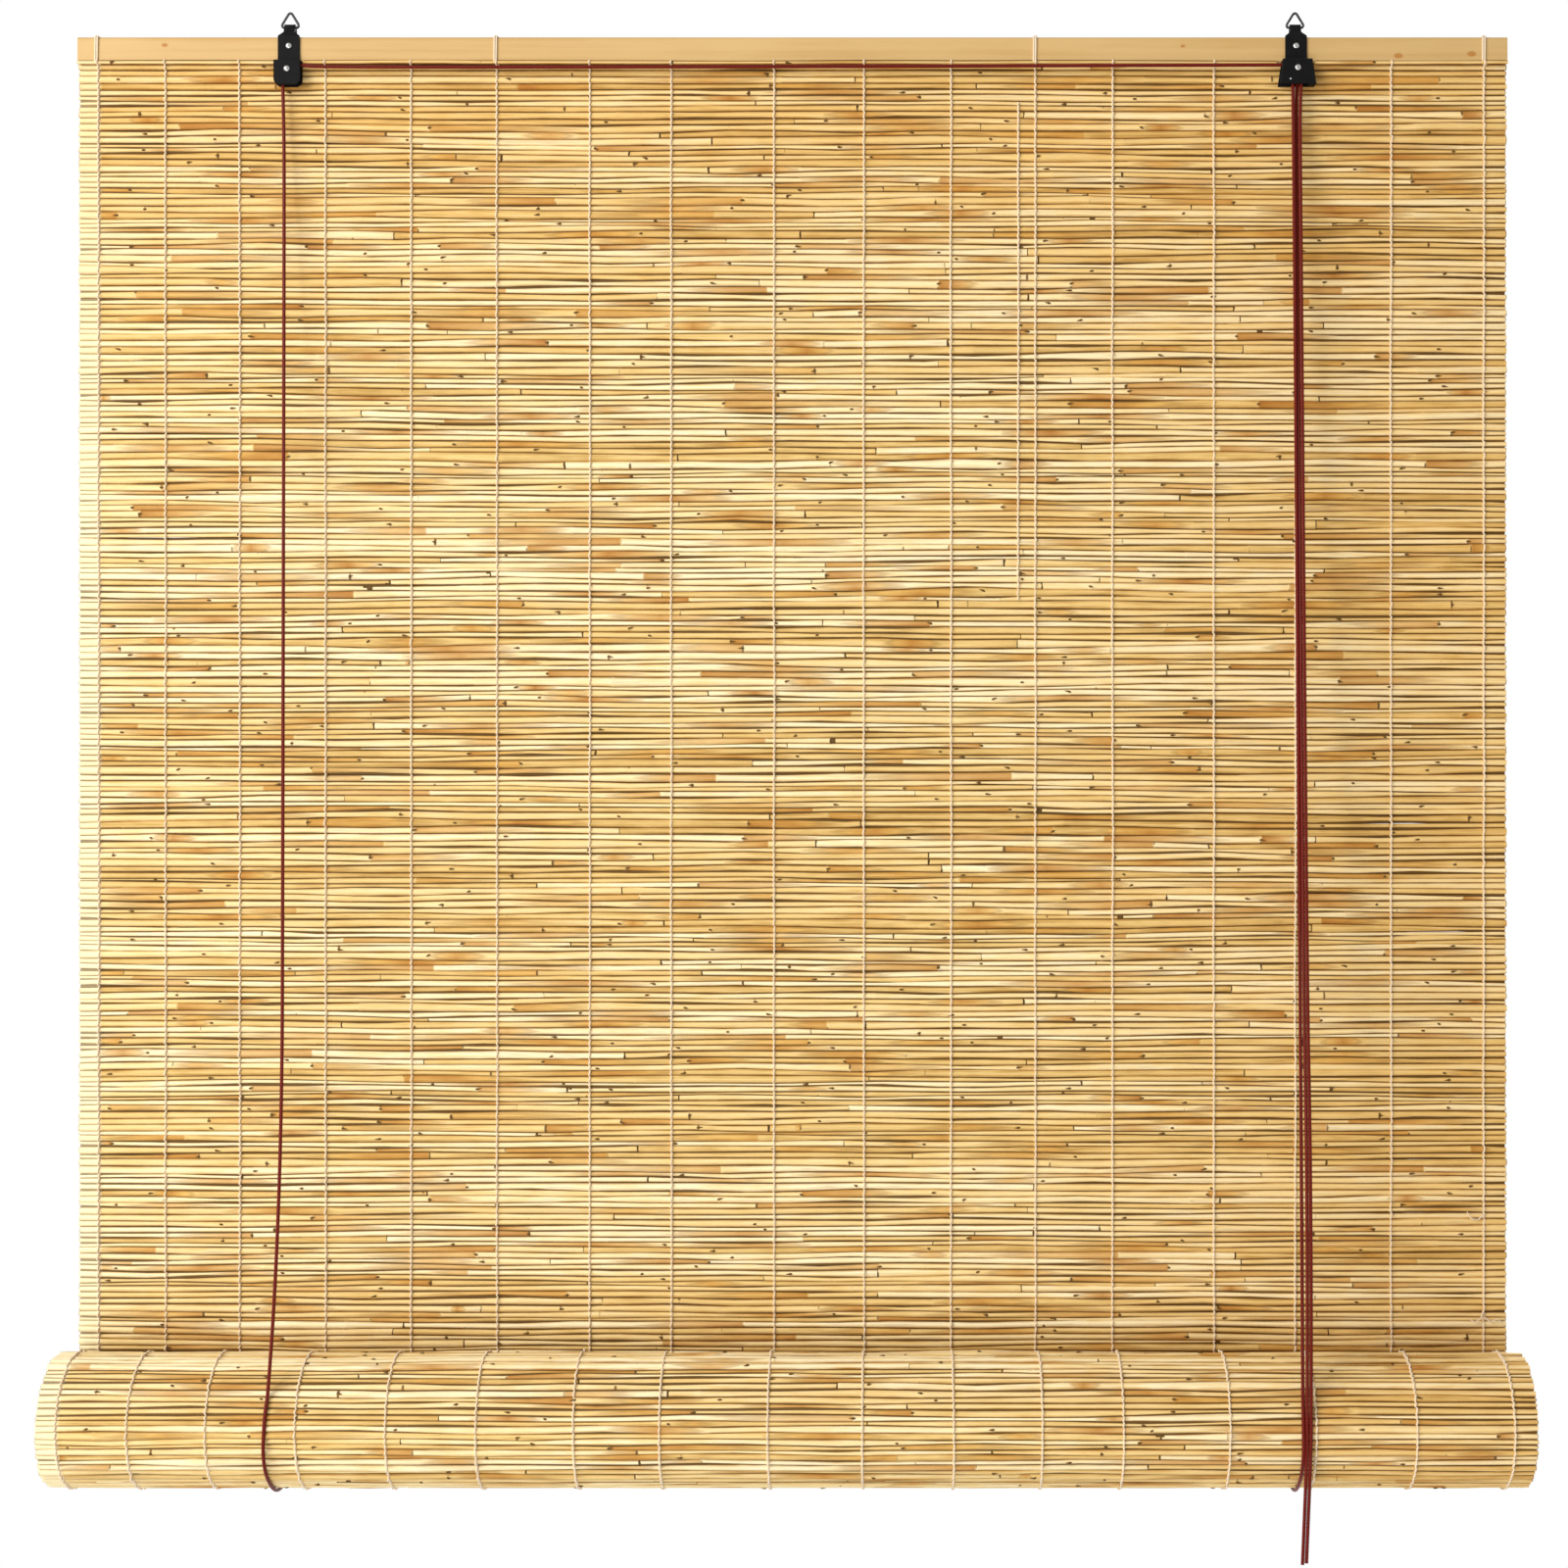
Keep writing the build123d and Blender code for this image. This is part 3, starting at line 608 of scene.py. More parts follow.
class Lines:
    """Lines whose points carry the numbers that strands and their finishes read."""

    def __init__(self):
        self.points = []
        self.edges = []
        self.numbers = {"thick": [], "stalk": [], "span": [], "sheath": [], "joint": []}
        self.lies = []

    def add(self, points, thick, lie=(0, 0, 0), stalk=0.0, sheath=None, joint=None, closed=False):
        """One line. A single thickness or direction serves all its points."""
        first = len(self.points)
        count = len(points)
        span = 0.0
        for index, point in enumerate(points):
            if index:
                span += (Vector(point) - Vector(points[index - 1])).length
            self.numbers["span"].append(span)
        self.points.extend(points)
        self.edges.extend((first + index, first + index + 1) for index in range(count - 1))
        if closed:
            self.edges.append((first + count - 1, first))
        self.numbers["thick"].extend(thick if isinstance(thick, list) else [thick] * count)
        self.numbers["stalk"].extend([stalk] * count)
        self.numbers["sheath"].extend(sheath or [0.0] * count)
        self.numbers["joint"].extend(joint or [0.0] * count)
        self.lies.extend(lie if isinstance(lie, list) else [lie] * count)

    def strands(self, name, sides, unevenness, finish_name):
        """Object with a strand along each line."""
        mesh = bpy.data.meshes.new(name)
        mesh.from_pydata([tuple(point) for point in self.points], self.edges, [])
        for label, numbers in self.numbers.items():
            write_points(mesh, label, "FLOAT", numbers)
        write_points(mesh, "lie", "FLOAT_VECTOR", [part for lie in self.lies for part in lie])
        inputs = {
            "Sides": sides,
            "Unevenness": unevenness,
            "Seed": bpy.context.scene.blind_sizes.seed,
            "Finish": finish(finish_name),
        }
        return grown(name, mesh, strand_tree(), inputs)


def stalk_stations(length, chance):
    """Stations along one stalk: place, swell, sheath cover and joint mark, from its thick end."""
    stations = [(0.0, 1.0, 0.0, 0.7), (CUT_RIM, 1.0, 0.0, 0.2), (CUT_END, 1.0, 0.0, 0.0)]
    place = chance.uniform(*FIRST_JOINT)
    while place < length - FIRST_JOINT[0]:
        to_next = chance.uniform(*NEXT_JOINT)
        mark = chance.choice(JOINT_MARKS)
        leaf = chance.uniform(*LEAF_COVER) if chance.random() < LEAF_CHANCE else 0.0
        reach = min(to_next - 0.006, chance.uniform(*LEAF_REACH), length - place - 0.01)
        soft = chance.random() < 0.5
        stations.append((place - 0.0018, 1.0, 0.0, 0.0))
        stations.append((place, 1.08, 0.0, mark * (0.5 if soft else 1.0)))
        stations.append((place + 0.0012, 1.05, leaf * (0.1 if soft else 1.0), 0.25 * mark))
        if reach > SHORTEST_LEAF:
            stations.append((place + reach * 0.45, 1.03, leaf * (1.0 if soft else 0.72), 0.0))
            stations.append((place + reach, 1.0, 0.0, 0.0))
        else:
            stations.append((place + CUT_END, 1.0, 0.0, 0.0))
        bare = place + max(reach, CUT_END) + BARE_STEP
        while bare < min(place + to_next, length) - SHORTEST_STALK:
            stations.append((bare, 1.0, 0.0, 0.0))
            bare += BARE_STEP
        place += to_next
    stations.append((length - CUT_END, 1.0, 0.0, 0.0))
    stations.append((length - CUT_RIM, 1.0, 0.0, 0.2))
    stations.append((length, 0.97, 0.0, 0.7))
    return stations


def row_edge(along, row):
    """How far the line where two rows meet strays from its place, least next to the batten."""
    calm = min(1.0, 0.2 + 0.1 * max(0.0, row))
    far = LONG_WAVE * noise.noise((along * 3.6, row * 0.09, 3.0))
    return calm * (far + SHORT_WAVE * noise.noise((along * 12.0, row * 3.7, 8.0)))


def row_gap(along, row):
    """Width of the gap between two rows, which opens and closes along them."""
    opening = 0.0048 * (noise.noise((along * 19.0, row * 7.3, 2.0)) - 0.20)
    return min(WIDEST_GAP, max(0.0, opening))


def row_places(length, chance):
    """Rows of uneven height that fill a length: the middle and the height of each."""
    count = round(length / bpy.context.scene.blind_sizes.reed_pitch)
    heights = [chance.choice(ROW_HEIGHTS) for _ in range(count)]
    stretch = length / sum(heights)
    rows, start = [], 0.0
    for height in heights:
        rows.append((start + height * stretch / 2, height * stretch))
        start += height * stretch
    return rows


def lay_row(lines, row, height, chance, spot, left=PANEL_LOW.x, right=PANEL_HIGH.x):
    """One row of stalks laid end to end.

    spot gives the place and direction for a rise towards the row before and a depth."""
    sizes = bpy.context.scene.blind_sizes
    x = left + chance.uniform(0.0, RAGGED_EDGE)
    end_x = right - chance.uniform(0.0, RAGGED_EDGE)
    while x < end_x - SHORTEST_STALK:
        length = sizes.stalk_length * chance.uniform(*STALK_LENGTHS)
        if end_x - x - length < SHORTEST_REST:
            length = end_x - x
        fill = sizes.reed_fill * chance.choice(STALK_FILLS)
        taper = chance.uniform(0.0, 0.12)
        depth = chance.uniform(-0.0004, 0.0004)
        flip = chance.random() < 0.5
        laid = []
        last = -1.0
        for place, swell, sheath, joint in stalk_stations(length, chance):
            if place <= last + CLOSEST_STATIONS:
                continue
            last = place
            along = x + (length - place if flip else place)
            before, after = row_edge(along, row - 0.5), row_edge(along, row + 0.5)
            gap_before, gap_after = row_gap(along, row - 0.5), row_gap(along, row + 0.5)
            rise = (before + after) / 2 + (gap_after - gap_before) / 4
            half = (height + before - after) / 2 - (gap_before + gap_after) / 4
            thick = max(THINNEST_STALK, half * fill * swell * (1 - taper * (place / length)))
            point, lie = spot(rise, depth)
            laid.append(((along, *point), thick, lie, sheath, joint))
            if joint > 0.2 and swell > 1.07 and chance.random() < TIP_CHANCE:
                reach = chance.choice((-1, -1, -1, 1)) * thick
                lay_tip(lines, along, -1 if flip else 1, spot, rise, depth, reach, chance)
        points, thicks, lies, sheaths, joints = map(list, zip(*laid))
        lines.add(points, thicks, lies, chance.random() ** 0.75, sheaths, joints)
        x += length
        if x < end_x - SHORTEST_STALK:
            # A short dark stalk fills the gap between two stalks laid end to end: painted shade in
            # the gap
            join = chance.uniform(0.0001, 0.0011)
            middle = (row_edge(x, row - 0.5) + row_edge(x, row + 0.5)) / 2
            point, _ = spot(middle, 0.0003)
            ends = [(x - END_LAP, *point), (x + join + END_LAP, *point)]
            lines.add(ends, height * 0.34, joint=[2.0, 2.0])
            x += join


def lay_tip(lines, along, way, spot, rise, depth, reach, chance):
    """Small dark point of a torn sheath that lies on a joint."""
    slope = chance.uniform(-0.5, 0.5) * abs(reach)
    tip = chance.uniform(*TIP_LENGTH)
    points = []
    for shift, share, proud in ((-0.0009, 0.0, 0.80), (0.0004, 0.4, 0.96), (tip, 1.0, 0.96)):
        point, _ = spot(rise + slope * share, depth + reach * proud)
        points.append((along + way * shift, *point))
    lines.add(points, list(TIP_THICKS), joint=[2.0, 2.0, 1.6])


def lay_gap_shade(lines, row, spot, left=PANEL_LOW.x, right=PANEL_HIGH.x, thick=JOIN_THICK):
    """Thin dark stalk between two rows, which closes the gap where they part with painted shade."""
    points = []
    for step in range(JOIN_STEPS + 1):
        along = left + JOIN_INSET + (right - left - 2 * JOIN_INSET) * step / JOIN_STEPS
        point, _ = spot(row_edge(along, row), JOIN_DEPTH)
        points.append((along, *point))
    lines.add(points, thick, joint=[2.0] * len(points))


def flat_spot(z, y=0.0):
    """Place of a row that hangs straight down, for a rise and a depth."""
    return lambda rise, depth: ((y + depth, z + rise), (0.0, 0.0, 1.0))


def turn_radius(step):
    """Radius of the mat's middle on one half turn of the roll, counted from its outside."""
    sizes = bpy.context.scene.blind_sizes
    return sizes.roll_radius - HALF_MAT - step * sizes.turn_pitch / 2


def roll_path(length):
    """Point, tangent and outward direction at a length along the spiral, from its outer end."""
    step = 0
    while length > pi * turn_radius(step) and step < HALF_TURNS - 1:
        length -= pi * turn_radius(step)
        step += 1
    radius = turn_radius(step)
    shift = bpy.context.scene.blind_sizes.turn_pitch / 2 if step % 2 else 0.0
    angle = (pi if step % 2 else 0.0) - length / radius
    point = (ROLL_AXIS_Y - shift + radius * cos(angle), ROLL_AXIS_Z + radius * sin(angle))
    return point, (sin(angle), -cos(angle)), (cos(angle), sin(angle))


def spiral_length():
    """Length of mat in the roll."""
    return sum(pi * turn_radius(step) for step in range(HALF_TURNS))


def roll_spot(length):
    """Place of a row in the roll, for a rise back along the spiral and a depth."""

    def spot(rise, depth):
        point, tangent, out = roll_path(length - rise)
        return (point[0] - depth * out[0], point[1] - depth * out[1]), (0.0, *tangent)

    return spot


def twined(lines, x, stations, chance):
    """Two strands that go over and under the rows by turns and cross between them.

    Each station is a row's number, place, directions along and out of the mat, and height."""
    thick = bpy.context.scene.blind_sizes.twine_thickness / 2
    for strand in (0, 1):
        points = []
        for row, point, along, out, height in stations:
            before, after = row_edge(x, row - 0.5), row_edge(x, row + 0.5)
            half = (height + before - after) / 2
            face = 1 if (row + strand) % 2 else -1
            sway = TWINE_SWAY * noise.noise((x * 30, row * 0.05, 5.0))
            sway += chance.uniform(-TWINE_STRAY, TWINE_STRAY)
            for share in (-0.48, 0.48):
                shift = share * face * thick * 0.8
                reach = face * (half * 1.03 + thick * 0.6)
                step = share * half - (before + after) / 2
                y, z = (point[i] + along[i] * step + out[i] * reach for i in (0, 1))
                points.append((x + sway + shift, y, z))
        lines.add(points, thick, stalk=chance.random())


def panel_rows():
    """Height and thickness of the panel's rows, from the batten down."""
    chance = random.Random(bpy.context.scene.blind_sizes.seed + 5)
    rows = row_places(BATTEN_LOW.z - PANEL_LOW.z, chance)
    return [(BATTEN_LOW.z - middle, height) for middle, height in rows]


def hang(piece):
    """A piece that hangs from the head, with a mesh of its own."""
    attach(piece, "head")
    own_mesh(piece)


class BLIND_OT_panel(bpy.types.Operator):
    """Reeds and twine of the hanging part of the mat."""

    bl_idname = "blind.panel"
    bl_label = "Hanging mat"

    def execute(self, context):
        sizes = context.scene.blind_sizes
        chance = random.Random(sizes.seed)
        reeds, gap_shades = Lines(), Lines()
        lay_gap_shade(gap_shades, -0.5, flat_spot(BATTEN_LOW.z))
        for row, (z, height) in enumerate(panel_rows()):
            lay_row(reeds, row, height, chance, flat_spot(z))
            lay_gap_shade(gap_shades, row + 0.5, flat_spot(z - height / 2))
        reed_panel = reeds.strands("reed_panel", REED_SIDES, REED_UNEVEN, "reed")
        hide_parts("mat_panel")
        reed_joins = gap_shades.strands("reed_joins", JOIN_SIDES, 0.0, "reed")
        for piece in (reed_panel, reed_joins):
            hang(piece)
        twine = Lines()
        stations = [
            (row, (0.0, z), (0.0, -1.0), (1.0, 0.0), height)
            for row, (z, height) in enumerate(panel_rows())
        ]
        for x in TWINES_X:
            twined(twine, x, stations, chance)
        twined(twine, SPARE_TWINE_X, stations[SPARE_TWINE_ROWS], chance)
        for end in FRAYED_ENDS:
            twine.add(list(end), [sizes.twine_thickness * share for share in FRAYED_THICKS])
        panel_twine = twine.strands("panel_twine", TWINE_SIDES, TWINE_UNEVEN, "twine")
        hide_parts("mat_twine")
        hang(panel_twine)
        return {"FINISHED"}


class BLIND_OT_roll(bpy.types.Operator):
    """Reeds and twine of the rolled part of the mat, whole on its outside and as ends inside."""

    bl_idname = "blind.roll"
    bl_label = "Rolled mat"

    def execute(self, context):
        sizes = context.scene.blind_sizes
        chance = random.Random(sizes.seed + 1)
        reeds = Lines()
        shown = pi * (turn_radius(0) + turn_radius(1)) + SEAM_LAP
        outer = []
        first = len(panel_rows())
        for row, (length, height) in enumerate(row_places(spiral_length(), chance), first):
            if length < shown:
                lay_row(reeds, row, height, chance, roll_spot(length))
                lay_gap_shade(reeds, row + 0.5, roll_spot(length + height / 2))
                outer.append((row, *roll_path(length), height))
            else:
                point, tangent, _ = roll_path(length)
                for low in (PANEL_LOW.x, PANEL_HIGH.x - ROLL_END):
                    thick = height / 2 * chance.uniform(0.86, 1.02)
                    start = low + chance.uniform(0.0, ROLL_RAGGED_EDGE)
                    stop = low + ROLL_END - chance.uniform(0.0, ROLL_RAGGED_EDGE)
                    line = [(x, *point) for x in (start, start + CUT_RIM, stop - CUT_RIM, stop)]
                    cuts = [1.0, 0.2, 0.2, 1.0]
                    reeds.add(line, thick, (0.0, *tangent), chance.random(), None, cuts)
        reed_roll = reeds.strands("reed_roll", REED_SIDES, REED_UNEVEN, "reed")
        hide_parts("mat_roll")
        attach(reed_roll, "roll")
        twine = Lines()
        for x in TWINES_X:
            twined(twine, x, outer, chance)
        roll_twine = twine.strands("roll_twine", TWINE_SIDES, TWINE_UNEVEN, "twine")
        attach(roll_twine, "roll")
        dress("bottom_batten", "wood")
        return {"FINISHED"}


def dress(node, finish_name, bevel=0.0):
    """Give a CAD node its finish, and soft edges where asked."""
    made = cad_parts[node]
    for material_slot in made.material_slots:
        material_slot.material = finish(finish_name)
    if bevel:
        weld = made.modifiers.new("weld", "WELD")
        weld.merge_threshold = 0.00001
        soft = made.modifiers.new("soft edges", "BEVEL")
        soft.width = bevel
        soft.segments = 2
        soft.limit_method = "ANGLE"
        soft.angle_limit = radians(35)
        soft.harden_normals = True


def tie_points(x, thick, chance):
    """Points of two turns of twine round the batten."""
    reach = thick * 0.85
    edge = TIE_BEND
    front, back = BATTEN_LOW.y - reach, BATTEN_HIGH.y + reach
    low, high = BATTEN_LOW.z - reach, BATTEN_HIGH.z + reach
    round_it = (
        (front, low + edge), (front, high - edge), (front + edge, high), (back - edge, high),
        (back, high - edge), (back, low + edge), (back - edge, low), (front + edge, low),
    )
    points = []
    for index, (y, z) in enumerate(round_it * 2):
        drift = (index / len(round_it) - 1) * 2 * thick
        points.append((x + drift + chance.uniform(-TIE_STRAY, TIE_STRAY), y, z))
    return points


def hook_points(x, low, top, thick):
    """Points of a strand of twine that goes over the thin row in front of the batten."""
    front = BATTEN_LOW.y - HEAD_ROW_PROUD - (top - low) / 2 - thick
    return [
        (x, BATTEN_LOW.y, top + thick), (x, front, top - thick),
        (x, front, low + thick), (x, HOOK_BACK_Y, low - thick),
    ]


class BLIND_OT_head(bpy.types.Operator):
    """Head batten, the twine tied round it and the thin row of reeds that laps it."""

    bl_idname = "blind.head"
    bl_label = "Head batten"

    def execute(self, context):
        sizes = context.scene.blind_sizes
        chance = random.Random(sizes.seed + 2)
        dress("head_batten", "wood")
        thick = sizes.twine_thickness / 2
        twine, reeds = Lines(), Lines()
        for tied in TIED_TWINES:
            twine.add(tie_points(TWINES_X[tied], thick, chance), thick)
        straps = [*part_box("left_hanger_strap"), *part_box("right_hanger_strap")]
        stops = [PANEL_LOW.x, *(corner.x for corner in straps), PANEL_HIGH.x]
        height = sizes.reed_pitch * HEAD_ROW_SHARE
        base = BATTEN_LOW.z - HEAD_ROW_DROP
        y = BATTEN_LOW.y - HEAD_ROW_PROUD
        for left, right in zip(stops[::2], stops[1::2]):
            lay_row(reeds, -1, height, chance, flat_spot(base + height / 2, y), left, right)
            lay_gap_shade(reeds, -1.5, flat_spot(base + height, y), left, right, HEAD_JOIN_THICK)
            for x in TWINES_X:
                if left < x < right:
                    low = base + row_edge(x, -0.5)
                    top = base + height + row_edge(x, -1.5)
                    twine.add(hook_points(x, low, top, thick), thick)
        head_row = reeds.strands("reed_head_row", HEAD_ROW_SIDES, REED_UNEVEN, "reed")
        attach(head_row, "head")
        ties = twine.strands("twine_ties", TIE_SIDES, TIE_UNEVEN, "twine")
        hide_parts("batten_ties")
        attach(ties, "head")
        return {"FINISHED"}


def ring_points(x):
    """Points of a bent wire triangle with round corners."""
    low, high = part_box("left_ring")
    base, top = low.z + RING_WIRE, high.z - RING_WIRE
    half = (high.x - low.x) / 2 - RING_WIRE
    reach = half + 0.73 * RING_BEND
    corners = ((reach, base), (0.0, top + RING_BEND), (-reach, base))
    points = []
    for index, corner in enumerate(corners):
        before = Vector(corners[index - 1]) - Vector(corner)
        after = Vector(corners[(index + 1) % 3]) - Vector(corner)
        opening = before.angle(after)
        inwards = (before.normalized() + after.normalized()).normalized()
        centre = Vector(corner) + inwards * RING_BEND / sin(opening / 2)
        start = Vector(corner) + before.normalized() * RING_BEND / tan(opening / 2)
        arm = start - centre
        for step in range(7):
            turn = (pi - opening) * step / 6
            y = centre.y + arm.x * sin(turn) + arm.y * cos(turn)
            points.append((x + centre.x + arm.x * cos(turn) - arm.y * sin(turn), 0.0, y))
    return points


def rivet_head():
    """Lathe-turned domed head, facing -Y, one unit across its radius."""
    mesh = bpy.data.meshes.new("rivet_head")
    shape = bmesh.new()
    outline = (
        (1.0, 0.02), (1.0, -0.10), (0.94, -0.22), (0.78, -0.36), (0.52, -0.46), (0.24, -0.51),
    )
    angles = [tau * side / RIVET_SIDES for side in range(RIVET_SIDES)]
    rings = [
        [shape.verts.new((reach * cos(angle), depth, reach * sin(angle))) for angle in angles]
        for reach, depth in outline
    ]
    for low, high in zip(rings, rings[1:]):
        for side in range(RIVET_SIDES):
            after = (side + 1) % RIVET_SIDES
            shape.faces.new((low[side], low[after], high[after], high[side]))
    shape.faces.new(rings[-1])
    shape.faces.new(list(reversed(rings[0])))
    bmesh.ops.recalc_face_normals(shape, faces=shape.faces)
    shape.to_mesh(mesh)
    shape.free()
    return mesh


class BLIND_OT_fittings(bpy.types.Operator):
    """Straps, housings, rings, rivets, wheels and the lock's roller."""

    bl_idname = "blind.fittings"
    bl_label = "Fittings"

    def execute(self, context):
        housings = ("left_pulley_housing", "right_lock_housing")
        for node in ("left_hanger_strap", "right_hanger_strap", *housings):
            dress(node, "paint", EDGE_BEVEL)
        for node in ("left_pulley_wheel", "right_pulley_wheel"):
            dress(node, "plastic")
        dress("lock_roller", "nickel")
        for side, x in (("left_ring", -HOOK_SIDE), ("right_ring", HOOK_SIDE)):
            lines = Lines()
            lines.add(ring_points(x), RING_WIRE, closed=True)
            wire = lines.strands(side + "_wire", ROUND_SIDES, 0.0, "wire")
            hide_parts(side)
            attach(wire, side)
        covers = [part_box(node)[0].y for node in housings]
        strap_low, strap_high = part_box("strap_rivets")
        axle_low, axle_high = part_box("pulley_rivets")
        strap_z = (strap_low.z + strap_high.z) / 2
        axle_z = (axle_low.z + axle_high.z) / 2
        points, turns, shares = [(LOCK_PIN_X, covers[1], LOCK_PIN_Z)], [0.0], [LOCK_PIN_SHARE]
        for fronts, back, z in (
            ((STRAP_FACE_Y, STRAP_FACE_Y), strap_high.y, strap_z),
            (covers, COVER_BACK_Y, axle_z),
        ):
            for x, front in zip((-HOOK_SIDE, HOOK_SIDE), fronts):
                points += [(x, front, z), (x, back, z)]
                turns += [0.0, pi]
                shares += [1.0, 1.0]
        mesh = bpy.data.meshes.new("rivet_points")
        mesh.from_pydata(points, [], [])
        flat = [part for turn in turns for part in (0.0, 0.0, turn)]
        write_points(mesh, "turn", "FLOAT_VECTOR", flat)
        write_points(mesh, "share", "FLOAT", shares)
        head = linked("rivet_head", rivet_head())
        inputs = {"Head": head, "Size": RIVET_SIZE, "Finish": finish("nickel")}
        heads = grown("rivet_heads", mesh, head_tree(), inputs)
        bpy.data.objects.remove(head)
        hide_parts("strap_rivets", "pulley_rivets")
        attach(heads, "head")
        return {"FINISHED"}


def cord_line(points):
    """Points along the smooth line that a cord's control points give."""
    curve = bpy.data.curves.new("route", "CURVE")
    curve.dimensions = "3D"
    curve.resolution_u = 16
    spline = curve.splines.new("NURBS")
    spline.points.add(len(points) - 1)
    for control, point in zip(spline.points, points):
        control.co = (*point, 1.0)
    spline.order_u = 3
    spline.use_endpoint_u = True
    route = linked("route", curve)
    graph = bpy.context.evaluated_depsgraph_get()
    mesh = bpy.data.meshes.new_from_object(route.evaluated_get(graph), depsgraph=graph)
    line = [vertex.co.copy() for vertex in mesh.vertices]
    bpy.data.objects.remove(route)
    bpy.data.curves.remove(curve)
    bpy.data.meshes.remove(mesh)
    kept = [line[0]]
    for point in line[1:]:
        if (point - kept[-1]).length > 0.0001:
            kept.append(point)
    return kept


def cord_piece(name, routes, node=None):
    """Cord along one or more routes, for its CAD node if it has one, and the lines it follows."""
    thick = bpy.context.scene.blind_sizes.cord_thickness / 2
    lines = Lines()
    followed = [cord_line(route) for route in routes]
    for line in followed:
        lines.add([tuple(point) for point in line], thick)
    piece = lines.strands(name, ROUND_SIDES, 0.0, "cord")
    if node:
        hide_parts(node)
    return piece, followed


# Control points of the cords in metres: first the short turns inside the housings
LEFT_TURN = ((-0.3554, -0.00745, -0.0408), (-0.3554, -0.00745, -0.0560))
RIGHT_TURN = ((0.3486, -0.01015, -0.0408), (0.3490, -0.01015, -0.0560))
PULL_1_TURN = (
    (0.3554, -0.00745, -0.0408), (0.3524, -0.00745, -0.0470), (0.3520, -0.00745, -0.0560),
)
PULL_2_TURN = (
    (0.3486, -0.01015, -0.0406), (0.3486, -0.01015, -0.0372), (0.3554, -0.01015, -0.0372),
    (0.3554, -0.01015, -0.0406), (0.3544, -0.01015, -0.0560),
)
# Front runs, which land on the shoulder of the roll
LEFT_FRONT = (
    (-0.3554, -0.00745, -0.0560), (-0.3550, -0.00745, -0.0718), (-0.3538, -0.0100, -0.1030),
    (-0.3452, -0.0480, -0.5200), (-0.3390, -0.0755, -0.8350), (-0.3462, -0.0853, -0.9479),
)
RIGHT_FRONT = (
    (0.3490, -0.01015, -0.0560), (0.3492, -0.01015, -0.0718), (0.3491, -0.0130, -0.1030),
    (0.3453, -0.0667, -0.7300), (0.3437, -0.0853, -0.9479),
)
# Pull runs, which bow forward over the roll
PULL_1 = (
    (0.3520, -0.00745, -0.0560), (0.3519, -0.00745, -0.0718), (0.3517, -0.01038, -0.1030),
    (0.3476, -0.0640, -0.6800), (0.3470, -0.0782, -0.7600), (0.3465, -0.0856, -0.8400),
    (0.3460, -0.0895, -0.9000), (0.3456, -0.09093, -0.96119),
)
PULL_2 = (
    (0.3544, -0.01015, -0.0560), (0.3539, -0.01015, -0.0718), (0.3537, -0.01299, -0.1030),
    (0.3500, -0.0645, -0.6800), (0.3495, -0.0782, -0.7600), (0.3490, -0.0856, -0.8400),
    (0.3486, -0.0895, -0.9000), (0.3482, -0.09096, -0.96133),
)
# Tails, which hang down past the roll
TAIL_1 = (
    (0.3456, -0.09094, -0.96129), (0.3456, -0.0917, -0.96938), (0.3448, -0.0917, -0.9980),
    (0.3436, -0.0917, -1.0280), (0.3424, -0.0917, -1.0570),
)
TAIL_2 = (
    (0.3482, -0.09097, -0.96143), (0.3482, -0.0917, -0.96945), (0.3474, -0.0917, -0.9970),
    (0.3462, -0.0917, -1.0270), (0.3450, -0.0917, -1.0560),
)
# Slings under the roll, and the rear runs from the knots down to them
LEFT_SLING = (
    (-0.3462, -0.0853, -0.9479), (-0.3470, -0.0900, -0.9570), (-0.3475, -0.0936, -0.9950),
    (-0.3475, -0.0467, -1.0269), (-0.3475, 0.0033, -1.0000), (-0.3475, 0.0033, -0.9716),
)
RIGHT_SLING = (
    (0.3437, -0.0853, -0.9479), (0.3432, -0.0900, -0.9570), (0.3431, -0.0936, -0.9950),
    (0.3430, -0.0467, -1.0269), (0.3430, 0.0033, -1.0000), (0.3430, 0.0033, -0.9716),
)
LEFT_REAR = ((-0.3520, 0.0076, -0.0432), (-0.3475, 0.0033, -0.9714))
RIGHT_REAR = ((0.3520, 0.0076, -0.0432), (0.3430, 0.0033, -0.9714))
# Cross run under the batten, from the left wheel to the cord lock
CROSS = (
    (-0.3554, -0.00745, -0.0406), (-0.3554, -0.00745, -0.0372), (-0.3410, -0.00745, -0.0372),
    (-0.3310, -0.00745, -0.0389), (0.0, -0.00745, -0.0385), (0.3370, -0.00745, -0.0372),
    (0.3554, -0.00745, -0.0372), (0.3554, -0.00745, -0.0406),
)


def knot_route(x, y, z):
    """Control points of an overhand knot drawn tight round the cord's own line."""
    wind, half, end = 0.0019, 0.0018, 0.0026
    steps, steps_per_turn = 14, 6
    points = [(x, y, z + end)]
    for step in range(steps):
        angle = tau * step / steps_per_turn
        climb = half - 2 * half * step / (steps - 1)
        points.append((x + wind * cos(angle), y + wind * sin(angle), z + climb))
    points.append((x, y, z - end))
    return points


